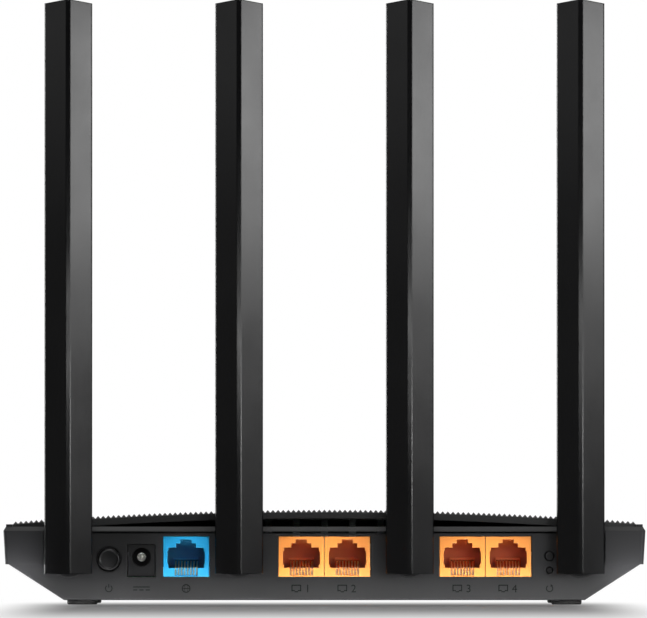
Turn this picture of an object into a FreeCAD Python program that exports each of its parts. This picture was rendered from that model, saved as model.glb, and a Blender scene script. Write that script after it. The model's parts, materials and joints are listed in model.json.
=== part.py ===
"""A wireless router with four folding antennas, as a parametric FreeCAD document.

The frame: +Z is up and the feet stand on z = 0. +X runs to the right for someone who looks at the ports,
and +Y runs from the port panel towards the front of the case. The origin is on the floor, under the middle
of the whole object. Every size below is in millimetres and lives in the spreadsheet named Sizes.
"""

import FreeCAD, Part  # FreeCAD has to be imported before Part
import math
import operator
import os
import Sketcher
from FreeCAD import Placement, Rotation, Vector

SIZES = {
    # case
    "body_wide": 215.0,  # over the belt's widest line
    "body_deep": 117.0,  # from the belt's back face to its front face
    "foot_high": 1.5,  # rubber foot under the case
    "slope_run": 18.6,  # how far the case's slopes reach inwards, from the belt to the underside
    "belt_low": 13.5,  # lower edge of the belt
    "bevel_low": 24.7,  # where the bevel on the belt's top edge starts
    "frame_top": 26.1,
    "bevel_in": 0.9,  # how far that bevel runs inwards
    "belt_draft": 0.65,  # the belt is this much narrower at its foot, each side
    "shoulder": 1.05,  # the case is set in this far below the belt
    "case_wall": 2.0,
    "lip_high": 4.0,  # upstand of the case inside the belt
    "gap": 0.2,  # clearance between parts that are fitted together
    "belt_wall": 1.95,
    "block_wide": 13.45,  # each back corner of the belt, beside the port panel
    "panel_top": 23.9,
    "bar_low": 24.4,  # underside of the bar above the ports
    "bar_deep": 3.0,
    "block_proud": 1.6,  # the belt's back corners stand this far off the port panel
    "round_edge": 0.6,
    # lid
    "rim_wide": 3.2,  # from the belt's widest line to the lid's end
    "lid_crown": 31.8,  # top of the arch
    "lid_radius": 1340.0,
    "under_crown": 28.85,
    "under_radius": 1185.0,
    "ledge_low": 22.4,  # ledge of the frame that carries the lid
    "ledge_top": 24.1,
    "ledge_in": 2.9,
    "rim_high": 0.8,  # the frame's end rims stand this far above it
    "crest_deep": 2.4,  # arched rail of the frame in front of the lid
    "vent_count": 16,
    "vent_wide": 1.2,
    "vent_long": 46.0,
    "vent_pitch": 10.32,
    "strip_deep": 17.0,  # plain strip of the lid in front of its texture
    # posts, screws and feet
    "post_side": 24.5,  # from the belt's widest line
    "post_back": 24.0,  # from the port panel
    "post_front": 27.4,  # from the front of the belt
    "post_r": 3.0,
    "boss_r": 4.1,
    "boss_top": 9.0,
    "screw_r": 1.4,
    "screw_long": 10.0,
    "head_r": 2.6,
    "head_high": 1.8,
    "head_sunk": 0.4,
    "foot_r": 5.1,
    "foot_side": 26.3,  # from the belt's widest line
    "foot_back": 9.0,  # from the port panel
    "foot_front": 27.4,  # from the front of the belt
    "slot_count": 11,
    "slot_wide": 1.8,
    "slot_long": 26.0,
    "slot_pitch": 4.4,
    "slot_bank_x": 36.0,
    "slot_bank_y": 6.0,
    "keyhole_span": 110.0,
    "keyhole_r": 3.6,
    "keyhole_neck": 4.0,
    "keyhole_run": 7.0,
    "keyhole_y": 30.0,
    # main board
    "board_low": 7.8,
    "board_top": 9.4,
    "light_back": 2.2,  # from the board's front edge to the status lights
    "board_screw_x": 66.0,
    "board_screw_back": 36.0,
    "board_screw_front": 25.4,  # from the front of the belt
    # network ports
    "jack_wide": 15.2,
    "jack_high": 13.4,
    "jack_deep": 16.0,
    "wan_x": -46.3,
    "lan_near_x": 0.0,
    "lan_far_x": 53.9,
    "mouth_half": 5.87,
    "mouth_bulge": 0.38,
    "mouth_low": 2.9,
    "mouth_top": 9.7,
    "latch_half": 3.36,
    "latch_top": 11.2,
    "key_half": 1.89,
    "key_top": 12.45,
    "mouth_deep": 13.0,
    "contact_pitch": 1.02,
    "contact_wide": 0.46,
    "contact_thick": 0.4,
    "contact_rise": 5.2,  # height of the contacts at the back of the mouth
    # power socket and buttons
    "power_x": -61.25,
    "power_wide": 9.0,
    "power_high": 10.7,
    "power_deep": 14.0,
    "power_recess": 1.0,
    "power_hole_z": 15.9,
    "power_hole_r": 3.15,
    "power_hole_deep": 9.5,
    "power_pin_r": 1.05,
    "switch_x": -72.2,
    "switch_z": 15.2,
    "switch_hole_r": 4.3,
    "switch_cap_r": 3.85,
    "switch_proud": 1.4,
    "switch_travel": 1.5,
    "plunger_r": 1.2,
    "slide_gap": 0.06,  # radial clearance of a sliding stem
    "small_x": 75.4,
    "wps_z": 16.3,
    "wps_hole_r": 1.9,
    "wps_cap_r": 1.5,
    "reset_z": 11.5,
    "reset_hole_r": 1.35,
    "reset_cap_r": 1.1,
    "small_travel": 0.4,
    # antennas
    "antenna_near_x": 28.55,
    "antenna_pitch": 57.1,
    "antenna_wide": 16.0,
    "antenna_low": 10.3,
    "antenna_top": 202.3,
    "antenna_slant": 1.2,  # fall of the tip from the ridge to the widest line
    "ridge_flat": 1.5,
    "ridge_deep": 4.6,  # from the seam to the ridge
    "side_flat": 1.3,
    "front_flat": 11.2,
    "front_deep": 4.7,  # from the seam to the front face
    "pin_deep": 1.3,  # from the seam to the hinge pin
    "pin_r": 1.0,
    "pin_long": 12.8,
    "hinge_gap": 0.05,  # radial clearance of the hinge pin in the knuckle
    "reach": 6.4,  # from the port panel to the hinge pin
    "tail": 4.6,  # from the hinge pin to the antenna's lower end
    "tongue_wide": 6.0,
    "tongue_r": 2.7,
    "tongue_gap": 0.3,
    "flange_r": 6.0,
    "flange_thick": 1.0,
    "stub_r": 4.0,
    "stub_bore_r": 1.3,
    "clip_grip": 0.6,  # the clip is this much wider than the stub
    "clip_thick": 1.0,
    "clip_groove": 0.8,
    "shell_wall": 1.3,
    "strip_wide": 7.0,  # radiator strip inside the antenna
    "strip_thick": 0.8,
    "strip_long": 150.0,
    "lead_r": 0.65,
}

doc = FreeCAD.newDocument("wireless_router")
sheet = doc.addObject("Spreadsheet::Sheet", "Sizes")
for row, (alias, number) in enumerate(SIZES.items(), start=1):
    sheet.set(f"A{row}", alias)
    sheet.set(f"B{row}", str(number))
    sheet.setAlias(f"B{row}", alias)
doc.recompute()

ARITHMETIC = {"+": operator.add, "-": operator.sub, "*": operator.mul, "/": operator.truediv}


class Size:
    """A length: its value, and the text of the spreadsheet expression that it comes from."""

    def __init__(self, text, value):
        self.text = text
        self.value = value

    def join(self, sign, other, swap=False):
        first, last = (as_size(other), self) if swap else (self, as_size(other))
        return Size(f"({first.text} {sign} {last.text})", ARITHMETIC[sign](first.value, last.value))

    def __add__(self, other):
        return self.join("+", other)

    def __radd__(self, other):
        return self.join("+", other, swap=True)

    def __sub__(self, other):
        return self.join("-", other)

    def __rsub__(self, other):
        return self.join("-", other, swap=True)

    def __mul__(self, other):
        return self.join("*", other)

    def __rmul__(self, other):
        return self.join("*", other, swap=True)

    def __truediv__(self, other):
        return self.join("/", other)

    def __neg__(self):
        return as_size(0) - self


def as_size(number):
    return number if isinstance(number, Size) else Size(str(number), float(number))


class Sheet:
    """Gives each alias of the spreadsheet as a Size: s.body_wide."""

    def __getattr__(self, alias):
        return Size(f"Sizes.{alias}", float(SIZES[alias]))


s = Sheet()

# Places that several sub-parts share, all from the sheet.
ANTENNA_BACK = s.reach + s.pin_deep + s.ridge_deep
PANEL_Y = (ANTENNA_BACK - (s.body_deep - s.block_proud)) / 2
FRONT_Y = PANEL_Y + s.body_deep - s.block_proud
FRAME_BACK = PANEL_Y - s.block_proud
INNER_Y = PANEL_Y + s.case_wall
BELT_HALF = s.body_wide / 2
SHOULDER_HALF = BELT_HALF - s.belt_draft - s.shoulder
SHOULDER_FRONT = FRONT_Y - s.belt_draft - s.shoulder
BASE_HALF = SHOULDER_HALF - s.slope_run
SLOPE = s.slope_run / (s.belt_low - s.foot_high)
WALL_RUN = s.case_wall * round(math.hypot(1, SLOPE.value), 4)  # the sloped wall's thickness, measured level
LIP_HALF = BELT_HALF - s.belt_draft - s.belt_wall - s.gap
LIP_FRONT = FRONT_Y - s.belt_draft - s.belt_wall - s.gap
LID_HALF = BELT_HALF - s.rim_wide
PANEL_HALF = BELT_HALF - s.block_wide
LID_BACK = FRAME_BACK + s.bar_deep + s.gap
CREST_BACK = FRONT_Y - s.bevel_in - s.crest_deep
LID_FRONT = CREST_BACK - s.gap
POST_X = BELT_HALF - s.post_side
BOARD_HALF = POST_X - s.boss_r - s.gap * 2
BOARD_FRONT = SHOULDER_FRONT - SLOPE * (s.belt_low - s.board_low) - WALL_RUN - s.gap
LED_Y = BOARD_FRONT - s.light_back
JACK_PITCH = s.jack_wide + s.gap
PIVOT_Z = s.antenna_low + s.tail
PIVOT_Y = PANEL_Y - s.reach
SEAM_Y = PIVOT_Y - s.pin_deep
FLOOR_TOP = s.foot_high + s.case_wall
ANTENNA_X = [-s.antenna_near_x - s.antenna_pitch, -s.antenna_near_x, s.antenna_near_x,
             s.antenna_near_x + s.antenna_pitch]
LAN_X = [middle + side * JACK_PITCH / 2 for middle in (s.lan_near_x, s.lan_far_x) for side in (-1, 1)]


def four_places(x, back, front):
    """Both sides of x = 0, at a distance from the port panel and at one from the belt's front."""
    return [(side * x, y) for side in (-1, 1) for y in (PANEL_Y + back, FRONT_Y - front)]


POSTS = four_places(POST_X, s.post_back, s.post_front)
BOARD_SCREWS = four_places(s.board_screw_x, s.board_screw_back, s.board_screw_front)

# How a sketch lies on each plane, and which way the plane's normal points along its own axis.
TURNS = {"XY": Rotation(), "XZ": Rotation(Vector(1, 0, 0), 90), "YZ": Rotation(Vector(1, 1, 1), 120)}
NORMALS = {"XY": ("z", 1), "XZ": ("y", -1), "YZ": ("x", 1)}
AXIS_TURNS = {"Z": Rotation(), "Y": Rotation(Vector(1, 0, 0), -90), "X": Rotation(Vector(0, 1, 0), 90)}
PARTS = []


def bind(thing, prop, size):
    thing.setExpression(prop, as_size(size).text)


def place(thing, x, y, z, turn=None):
    if turn is not None:
        thing.Placement = Placement(Vector(0, 0, 0), turn)
    for axis, size in zip("xyz", (x, y, z)):
        bind(thing, f"Placement.Base.{axis}", size)
    return thing


def part(label, thing):
    """Names a finished sub-part. Its label names its file."""
    thing.Label = label
    PARTS.append(thing)
    return thing


def draw(sketch, outline):
    """Draws a closed outline of straight lines, each corner tied to the sheet."""
    count = len(outline)
    corners = [Vector(as_size(u).value, as_size(v).value, 0) for u, v in outline]
    for i in range(count):
        sketch.addGeometry(Part.LineSegment(corners[i], corners[(i + 1) % count]))
    for i in range(count):
        sketch.addConstraint(Sketcher.Constraint("Coincident", i, 2, (i + 1) % count, 1))
    for i, corner in enumerate(outline):
        for kind, size in zip(("DistanceX", "DistanceY"), corner):
            size = as_size(size)
            index = sketch.addConstraint(Sketcher.Constraint(kind, -1, 1, i, 1, size.value))
            sketch.setExpression(f"Constraints[{index}]", size.text)
    return sketch


def rectangle(u0, v0, u1, v1):
    return [(u0, v0), (u1, v0), (u1, v1), (u0, v1)]


def prism(name, plane, outline, start, length):
    """An outline on a plane, pushed out along that plane's positive axis."""
    sketch = draw(doc.addObject("Sketcher::SketchObject", f"{name}_outline"), outline)
    axis, sign = NORMALS[plane]
    sketch.Placement = Placement(Vector(0, 0, 0), TURNS[plane])
    bind(sketch, f"Placement.Base.{axis}", start)
    solid = doc.addObject("Part::Extrusion", name)
    solid.Base = sketch
    solid.DirMode = "Normal"
    solid.Solid = True
    solid.Reversed = sign < 0
    bind(solid, "LengthFwd", length)
    return solid


def box(name, low, high):
    solid = doc.addObject("Part::Box", name)
    for prop, a, b in zip(("Length", "Width", "Height"), low, high):
        bind(solid, prop, b - as_size(a))
    return place(solid, *low)


def cylinder(name, axis, foot, radius, length):
    solid = doc.addObject("Part::Cylinder", name)
    bind(solid, "Radius", radius)
    bind(solid, "Height", length)
    return place(solid, *foot, turn=AXIS_TURNS[axis])


def joined(kind, name, shapes):
    result = doc.addObject(kind, name)
    result.Shapes = list(shapes)
    return result


def fuse(name, *shapes):
    result = joined("Part::MultiFuse", name, shapes)
    result.Refine = True
    return result


def common(name, *shapes):
    return joined("Part::MultiCommon", name, shapes)


def cut(name, base, *tools):
    result = doc.addObject("Part::Cut", name)
    result.Base = base
    result.Tool = tools[0] if len(tools) == 1 else joined("Part::MultiFuse", f"{name}_tools", tools)
    return result


def group(name, solids):
    result = doc.addObject("Part::Compound", name)
    result.Links = list(solids)
    return result


def soften(name, base, radius, wanted):
    """Rounds the edges of base whose bounding box the function wanted accepts."""
    doc.recompute()
    result = doc.addObject("Part::Fillet", name)
    result.Base = base
    picked = [i for i, edge in enumerate(base.Shape.Edges, start=1) if wanted(edge.BoundBox)]
    result.Edges = [(i, radius.value, radius.value) for i in picked]
    return result


def new_body(name):
    return doc.addObject("PartDesign::Body", name)


def sketch_in(body, plane, outline, start):
    """A sketch on one of the body's own origin planes, moved along that plane's axis to start."""
    sketch = body.newObject("Sketcher::SketchObject", f"{body.Name}_sketch")
    origin = [f for f in body.Origin.OriginFeatures if f.Role == f"{plane}_Plane"][0]
    sketch.AttachmentSupport = [(origin, "")]
    sketch.MapMode = "FlatFace"
    bind(sketch, "AttachmentOffset.Base.z", start * NORMALS[plane][1])
    return draw(sketch, outline)


def pad(body, plane, outline, start, length):
    feature = body.newObject("PartDesign::Pad", f"{body.Name}_pad")
    feature.Profile = sketch_in(body, plane, outline, start)
    feature.Reversed = NORMALS[plane][1] < 0
    bind(feature, "Length", length)
    return feature


def pocket(body, plane, outline, start, length):
    """Cuts from start towards the plane's positive axis."""
    feature = body.newObject("PartDesign::Pocket", f"{body.Name}_pocket")
    feature.Profile = sketch_in(body, plane, outline, start)
    feature.Reversed = NORMALS[plane][1] > 0
    bind(feature, "Length", length)
    return feature


def turn(body, outline, subtract=False):
    """Revolves an outline of radius and height about the body's own Z axis."""
    kind = "PartDesign::Groove" if subtract else "PartDesign::Revolution"
    feature = body.newObject(kind, f"{body.Name}_turned")
    sketch = sketch_in(body, "XZ", outline, as_size(0))
    feature.Profile = sketch
    feature.ReferenceAxis = (sketch, ["V_Axis"])
    feature.Angle = 360
    return feature


def round_edges(body, radius, wanted, kind="Fillet", prop="Radius"):
    """Fillets, or chamfers, the edges of the body so far whose bounding box wanted accepts."""
    doc.recompute()
    base = body.Tip
    names = [f"Edge{i}" for i, edge in enumerate(base.Shape.Edges, start=1) if wanted(edge.BoundBox)]
    feature = body.newObject(f"PartDesign::{kind}", f"{body.Name}_{kind.lower()}")
    feature.Base = (base, names)
    bind(feature, prop, radius)
    return feature


def row_of(body, feature, direction, pitch, count):
    """Repeats a feature in a straight row along an axis of its sketch."""
    pattern = body.newObject("PartDesign::LinearPattern", f"{body.Name}_row")
    pattern.Originals = [feature]
    pattern.Direction = (feature.Profile[0], [direction])
    bind(pattern, "Length", pitch * (count - 1))
    pattern.Occurrences = count
    body.Tip = pattern
    return pattern


def crossed(name, side_view, front_view):
    """The solid whose view along Y is front_view and whose view along X is side_view."""
    along_y = prism(f"{name}_front", "XZ", front_view, FRAME_BACK, s.body_deep)
    along_x = prism(f"{name}_side", "YZ", side_view, -BELT_HALF, s.body_wide)
    return common(name, along_y, along_x)


def near(value, target, reach=0.05):
    return abs(value - target) < reach


# ---------------------------------------------------------------- case

def wide_outline(*half_points):
    """An outline that is the same on both sides of x = 0, from its right-hand points, lowest first."""
    right = list(half_points)
    return right + [(-u, v) for u, v in reversed(right)]


def case_hollow():
    """Space inside the lower case: its slopes keep the wall's thickness, measured square to them."""
    floor_half = BASE_HALF + SLOPE * s.case_wall - WALL_RUN
    floor_front = SHOULDER_FRONT - s.slope_run + SLOPE * s.case_wall - WALL_RUN
    tub = crossed(
        "case_tub",
        [(INNER_Y, FLOOR_TOP), (floor_front, FLOOR_TOP), (SHOULDER_FRONT - WALL_RUN, s.belt_low),
         (INNER_Y, s.belt_low)],
        wide_outline((floor_half, FLOOR_TOP), (SHOULDER_HALF - WALL_RUN, s.belt_low)),
    )
    mouth = box(
        "case_mouth",
        (-SHOULDER_HALF + WALL_RUN, INNER_Y, s.belt_low),
        (SHOULDER_HALF - WALL_RUN, SHOULDER_FRONT - WALL_RUN, s.belt_low + s.lip_high),
    )
    return [tub, mouth]


def case_blank():
    hull = crossed(
        "case_hull",
        [(PANEL_Y, s.foot_high), (SHOULDER_FRONT - s.slope_run, s.foot_high),
         (SHOULDER_FRONT, s.belt_low), (PANEL_Y, s.belt_low)],
        wide_outline((BASE_HALF, s.foot_high), (SHOULDER_HALF, s.belt_low)),
    )
    soft = soften(
        "case_hull_soft", hull, s.round_edge,
        lambda b: near(b.ZMin, s.foot_high.value) and b.YMax < SHOULDER_FRONT.value - 1,
    )
    lip = box(
        "case_lip",
        (-LIP_HALF, PANEL_Y, s.belt_low),
        (LIP_HALF, LIP_FRONT, s.belt_low + s.lip_high),
    )
    wall = box(
        "port_wall",
        (s.gap - PANEL_HALF, PANEL_Y, s.belt_low),
        (PANEL_HALF - s.gap, INNER_Y, s.panel_top),
    )
    return fuse("case_blank", soft, lip, wall)


def port_openings():
    """Windows and holes of the port panel. Each is a named clearance larger than what sits in it."""
    cutters = []
    half = s.jack_wide / 2
    jack_z = (s.board_top - s.gap, s.board_top + s.jack_high + s.gap)
    spans = [(s.wan_x - half, s.wan_x + half), (LAN_X[0] - half, LAN_X[1] + half),
             (LAN_X[2] - half, LAN_X[3] + half)]
    for i, (left, right) in enumerate(spans):
        cutters.append(box(f"jack_window_{i}", (left - s.gap, PANEL_Y, jack_z[0]),
                           (right + s.gap, INNER_Y, jack_z[1])))
    cutters.append(box("power_window",
                       (s.power_x - s.power_wide / 2 - s.gap, PANEL_Y, s.board_top - s.gap),
                       (s.power_x + s.power_wide / 2 + s.gap, INNER_Y, s.board_top + s.power_high + s.gap)))
    holes = [(s.switch_x, s.switch_z, s.switch_hole_r), (s.small_x, s.wps_z, s.wps_hole_r),
             (s.small_x, s.reset_z, s.reset_hole_r)]
    holes += [(x, PIVOT_Z, s.stub_r + s.hinge_gap) for x in ANTENNA_X]
    for i, (x, z, radius) in enumerate(holes):
        cutters.append(cylinder(f"panel_hole_{i}", "Y", (x, PANEL_Y, z), radius, s.case_wall))
    return cutters


def underside_openings():
    """Vents, screw wells and the two keyholes for hanging the case on a wall."""
    cutters = []
    bank_half = s.slot_pitch * ((s.slot_count - 1) / 2)
    for side in (-1, 1):
        for i in range(int(s.slot_count.value)):
            x = side * s.slot_bank_x - bank_half + s.slot_pitch * i
            cutters.append(box(f"floor_vent_{side + 1}_{i}",
                               (x - s.slot_wide / 2, s.slot_bank_y - s.slot_long / 2, s.foot_high),
                               (x + s.slot_wide / 2, s.slot_bank_y + s.slot_long / 2, FLOOR_TOP)))
        x = side * s.keyhole_span / 2
        cutters.append(cylinder(f"keyhole_{side + 1}", "Z", (x, s.keyhole_y, s.foot_high),
                                s.keyhole_r, s.case_wall))
        cutters.append(box(f"keyhole_neck_{side + 1}",
                           (x - s.keyhole_neck / 2, s.keyhole_y - s.keyhole_run, s.foot_high),
                           (x + s.keyhole_neck / 2, s.keyhole_y, FLOOR_TOP)))
    for i, (x, y) in enumerate(POSTS):
        cutters.append(cylinder(f"screw_well_{i}", "Z", (x, y, s.foot_high), s.head_r + s.gap,
                                s.head_sunk + s.head_high))
        cutters.append(cylinder(f"screw_way_{i}", "Z", (x, y, s.foot_high), s.screw_r + s.gap,
                                s.boss_top - s.foot_high))
    for i, (x, y) in enumerate(BOARD_SCREWS):
        cutters.append(cylinder(f"board_screw_way_{i}", "Z", (x, y, FLOOR_TOP), s.screw_r + s.hinge_gap,
                                s.board_low - FLOOR_TOP))
    return cutters


def lower_case():
    hollowed = cut("case_shell", case_blank(), *case_hollow())
    bosses = [cylinder(f"boss_{i}", "Z", (x, y, s.foot_high + s.round_edge), s.boss_r,
                       s.boss_top - s.foot_high - s.round_edge) for i, (x, y) in enumerate(POSTS)]
    bosses += [cylinder(f"standoff_{i}", "Z", (x, y, s.foot_high + s.round_edge), s.boss_r - 1.1,
                        s.board_low - s.foot_high - s.round_edge)
               for i, (x, y) in enumerate(BOARD_SCREWS)]
    whole = fuse("case_with_bosses", hollowed, *bosses)
    part("lower_case", cut("lower_case", whole, *port_openings(), *underside_openings()))


def arch(name, radius, crown, back, front):
    """A long round bar along Y whose top line is at crown."""
    return cylinder(name, "Y", (0, back, crown - radius), radius, front - back)


def upper_frame():
    """A belt round the case, with a window for the ports, a ledge for the lid and an arched front rail."""
    foot_half = BELT_HALF - s.belt_draft
    ring = crossed(
        "belt",
        [(FRAME_BACK + s.belt_draft / 2, s.belt_low), (FRONT_Y - s.belt_draft, s.belt_low),
         (FRONT_Y, s.bevel_low), (FRONT_Y - s.bevel_in, s.frame_top),
         (FRAME_BACK + s.bevel_in, s.frame_top), (FRAME_BACK, s.bevel_low)],
        wide_outline((foot_half, s.belt_low), (BELT_HALF, s.bevel_low),
                     (BELT_HALF - s.bevel_in, s.frame_top)),
    )
    corner = s.round_edge.value * 2
    soft = soften("belt_soft", ring, s.round_edge * 2,
                  lambda b: b.ZLength > 10 and b.XLength < corner and b.YLength < corner)
    rims = []
    for side in (-1, 1):
        inner = side * (LID_HALF + s.gap)
        outer = side * (BELT_HALF - s.bevel_in)
        low, high = (outer, inner) if side < 0 else (inner, outer)
        rims.append(box(f"rim_{side + 1}", (low, FRAME_BACK + s.bevel_in, s.frame_top - 1),
                        (high, FRONT_Y - s.bevel_in, s.frame_top + s.rim_high)))
    crest = common(
        "crest",
        arch("crest_arch", s.lid_radius, s.lid_crown - s.gap, CREST_BACK, FRONT_Y - s.bevel_in),
        box("crest_block", (s.bevel_in - BELT_HALF, CREST_BACK, s.bar_low),
            (BELT_HALF - s.bevel_in, FRONT_Y - s.bevel_in, s.lid_crown)),
    )
    blank = fuse("frame_blank", soft, *rims, crest)
    lid_half = LID_HALF + s.gap
    inside = box("frame_inside", (-LIP_HALF - s.gap, PANEL_Y - s.gap, s.belt_low),
                 (LIP_HALF + s.gap, CREST_BACK, s.ledge_low))
    throat = box("frame_throat", (s.ledge_in - lid_half, PANEL_Y - s.gap, s.ledge_low),
                 (lid_half - s.ledge_in, CREST_BACK - s.ledge_in, s.ledge_top))
    seat = box("lid_seat", (-lid_half, LID_BACK - s.gap, s.ledge_top), (lid_half, CREST_BACK, s.lid_crown + 1))
    under_bar = box("under_bar", (-lid_half, PANEL_Y - s.gap, s.ledge_top), (lid_half, LID_BACK, s.bar_low))
    window = box("port_window", (-PANEL_HALF, FRAME_BACK - 1, s.belt_low),
                 (PANEL_HALF, PANEL_Y + s.case_wall, s.bar_low))
    front_room = box("front_room", (-LIP_HALF - s.gap, CREST_BACK, s.belt_low),
                     (LIP_HALF + s.gap, LIP_FRONT + s.gap, s.ledge_low))
    part("upper_frame", cut("upper_frame", blank, inside, throat, seat, under_bar, window, front_room))


def top_grille():
    """The arched lid: vents, a plain front strip with a slot for the light window, and four screw posts."""
    plate = common(
        "lid_block",
        arch("lid_arch", s.lid_radius, s.lid_crown, LID_BACK, LID_FRONT),
        box("lid_bounds", (-LID_HALF, LID_BACK, s.ledge_top), (LID_HALF, LID_FRONT, s.lid_crown)),
    )
    hollow = cut("lid_plate", plate,
                 arch("lid_under", s.under_radius, s.under_crown, LID_BACK - 1, LID_FRONT + 1),
                 box("lid_heel", (-BELT_HALF, LID_BACK - 1, s.ledge_top - 5),
                     (BELT_HALF, LID_FRONT + 1, s.ledge_top + s.hinge_gap)))
    posts = [cylinder(f"post_{i}", "Z", (x, y, s.boss_top + s.hinge_gap), s.post_r,
                      s.ledge_top + s.case_wall * 1.5 - s.boss_top) for i, (x, y) in enumerate(POSTS)]
    whole = fuse("lid_with_posts", hollow, *posts)
    cutters = [cylinder(f"pilot_{i}", "Z", (x, y, s.boss_top), s.screw_r + s.hinge_gap, s.screw_long)
               for i, (x, y) in enumerate(POSTS)]
    bank_half = s.vent_pitch * ((s.vent_count - 1) / 2)
    middle = (LID_BACK + LID_FRONT - s.strip_deep) / 2
    for i in range(int(s.vent_count.value)):
        x = s.vent_pitch * i - bank_half
        cutters.append(box(f"lid_vent_{i}", (x - s.vent_wide / 2, middle - s.vent_long / 2, s.ledge_top),
                           (x + s.vent_wide / 2, middle + s.vent_long / 2, s.lid_crown + 1)))
    cutters.append(box("window_slot", (-WINDOW_HALF - s.gap, LED_Y - WINDOW_DEEP / 2 - s.gap, s.ledge_top),
                       (WINDOW_HALF + s.gap, LED_Y + WINDOW_DEEP / 2 + s.gap, s.lid_crown + 1)))
    part("top_grille", cut("top_grille", whole, *cutters))


# ---------------------------------------------------------------- lights

WINDOW_HALF = as_size(24.0)
WINDOW_DEEP = as_size(3.2)
WINDOW_THICK = as_size(1.6)
WINDOW_SUNK = as_size(0.3)  # its flat top lies this far below the arch's crown
LED_COUNT = 5
LED_PITCH = as_size(9.6)
LED_HIGH = as_size(1.0)


def led_places():
    return [LED_PITCH * (i - (LED_COUNT - 1) / 2) for i in range(LED_COUNT)]


def status_lights():
    back, front = LED_Y - WINDOW_DEEP / 2, LED_Y + WINDOW_DEEP / 2
    window_low = s.lid_crown - WINDOW_SUNK - WINDOW_THICK
    lens = box("led_window", (-WINDOW_HALF, back, window_low), (WINDOW_HALF, front, s.lid_crown - WINDOW_SUNK))
    part("led_window", lens)
    rail_low = window_low - WINDOW_THICK
    rail = box("guide_rail", (-WINDOW_HALF, back, rail_low), (WINDOW_HALF, front, window_low))
    legs = [box(f"guide_leg_{i}", (x - 1.2, LED_Y - 1.2, s.board_top + LED_HIGH + s.gap),
                (x + 1.2, LED_Y + 1.2, rail_low + 0.5)) for i, x in enumerate(led_places())]
    part("light_guide", fuse("light_guide", rail, *legs))
    leds = [box(f"led_{i}", (x - 1.0, LED_Y - 0.6, s.board_top), (x + 1.0, LED_Y + 0.6, s.board_top + LED_HIGH))
            for i, x in enumerate(led_places())]
    part("status_leds", group("status_leds", leds))


# ---------------------------------------------------------------- feet and screws

def turned_at(name, outline, x, y, z, rotation=None):
    body = new_body(name)
    turn(body, outline)
    return place(body, x, y, z, turn=rotation)


def rubber_feet():
    """Each foot is a low disc with a rounded lower edge, stuck flat against the case."""
    soft = as_size(0.5)
    outline = [(0, 0), (s.foot_r - soft, 0), (s.foot_r - soft * 0.3, soft * 0.3), (s.foot_r, soft),
               (s.foot_r, s.foot_high), (0, s.foot_high)]
    places = four_places(BELT_HALF - s.foot_side, s.foot_back, s.foot_front)
    feet = [turned_at(f"foot_{i}", outline, x, y, 0) for i, (x, y) in enumerate(places)]
    part("rubber_feet", group("rubber_feet", feet))


def screw(name, x, y, head_low, length, up):
    """A pan-head screw with a cross recess. It points up from its head, or down if up is false."""
    body = new_body(name)
    turn(body, [(0, 0), (s.head_r, 0), (s.head_r, s.head_high), (s.screw_r, s.head_high),
                (s.screw_r, s.head_high + length - 0.8), (s.screw_r * 0.4, s.head_high + length),
                (0, s.head_high + length)])
    arm, wide = s.head_r * 0.62, s.head_r * 0.13
    pocket(body, "XY", rectangle(-arm, -wide, arm, wide), as_size(0), s.head_high * 0.55)
    pocket(body, "XY", rectangle(-wide, -arm, wide, arm), as_size(0), s.head_high * 0.55)
    turned = Rotation() if up else Rotation(Vector(1, 0, 0), 180)
    return place(body, x, y, head_low, turn=turned)


def screws():
    case = [screw(f"case_screw_{i}", x, y, s.foot_high + s.head_sunk, s.screw_long, True)
            for i, (x, y) in enumerate(POSTS)]
    part("case_screws", group("case_screws", case))
    board = [screw(f"board_screw_{i}", x, y, s.board_top + s.head_high, s.board_top - FLOOR_TOP - 0.4, False)
             for i, (x, y) in enumerate(BOARD_SCREWS)]
    part("board_screws", group("board_screws", board))


# ---------------------------------------------------------------- main board

def main_board():
    plate = box("board_plate", (-BOARD_HALF, INNER_Y + s.gap * 2, s.board_low),
                (BOARD_HALF, BOARD_FRONT, s.board_top))
    holes = [cylinder(f"board_hole_{i}", "Z", (x, y, s.board_low), s.screw_r + s.gap, s.board_top - s.board_low)
             for i, (x, y) in enumerate(BOARD_SCREWS)]
    part("main_board", cut("main_board", plate, *holes))


def block_on_board(name, x, y, wide, deep, high, lift=0.0):
    """A rectangular component whose middle is at x and at y behind the port panel."""
    low = s.board_top + lift
    return box(name, (as_size(x) - wide / 2, PANEL_Y + y - deep / 2, low),
               (as_size(x) + wide / 2, PANEL_Y + y + deep / 2, low + high))


def processor_stack():
    centre = (6.0, 55.0)
    part("processor", block_on_board("processor", *centre, 16.0, 16.0, 1.2))
    part("thermal_pad", block_on_board("thermal_pad", *centre, 15.0, 15.0, 0.8, lift=1.2))
    base = block_on_board("sink_base", *centre, 28.0, 28.0, 2.0, lift=2.0)
    fins = [block_on_board(f"fin_{i}", centre[0] - 13.2 + i * 3.3, centre[1], 1.2, 28.0, 7.0, lift=3.8)
            for i in range(9)]
    part("heat_sink", fuse("heat_sink", base, *fins))
    memory = [block_on_board("memory_0", 31.0, 52.0, 10.5, 8.0, 1.1),
              block_on_board("memory_1", 31.0, 66.0, 8.0, 6.0, 1.6)]
    part("memory_chips", group("memory_chips", memory))


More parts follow.
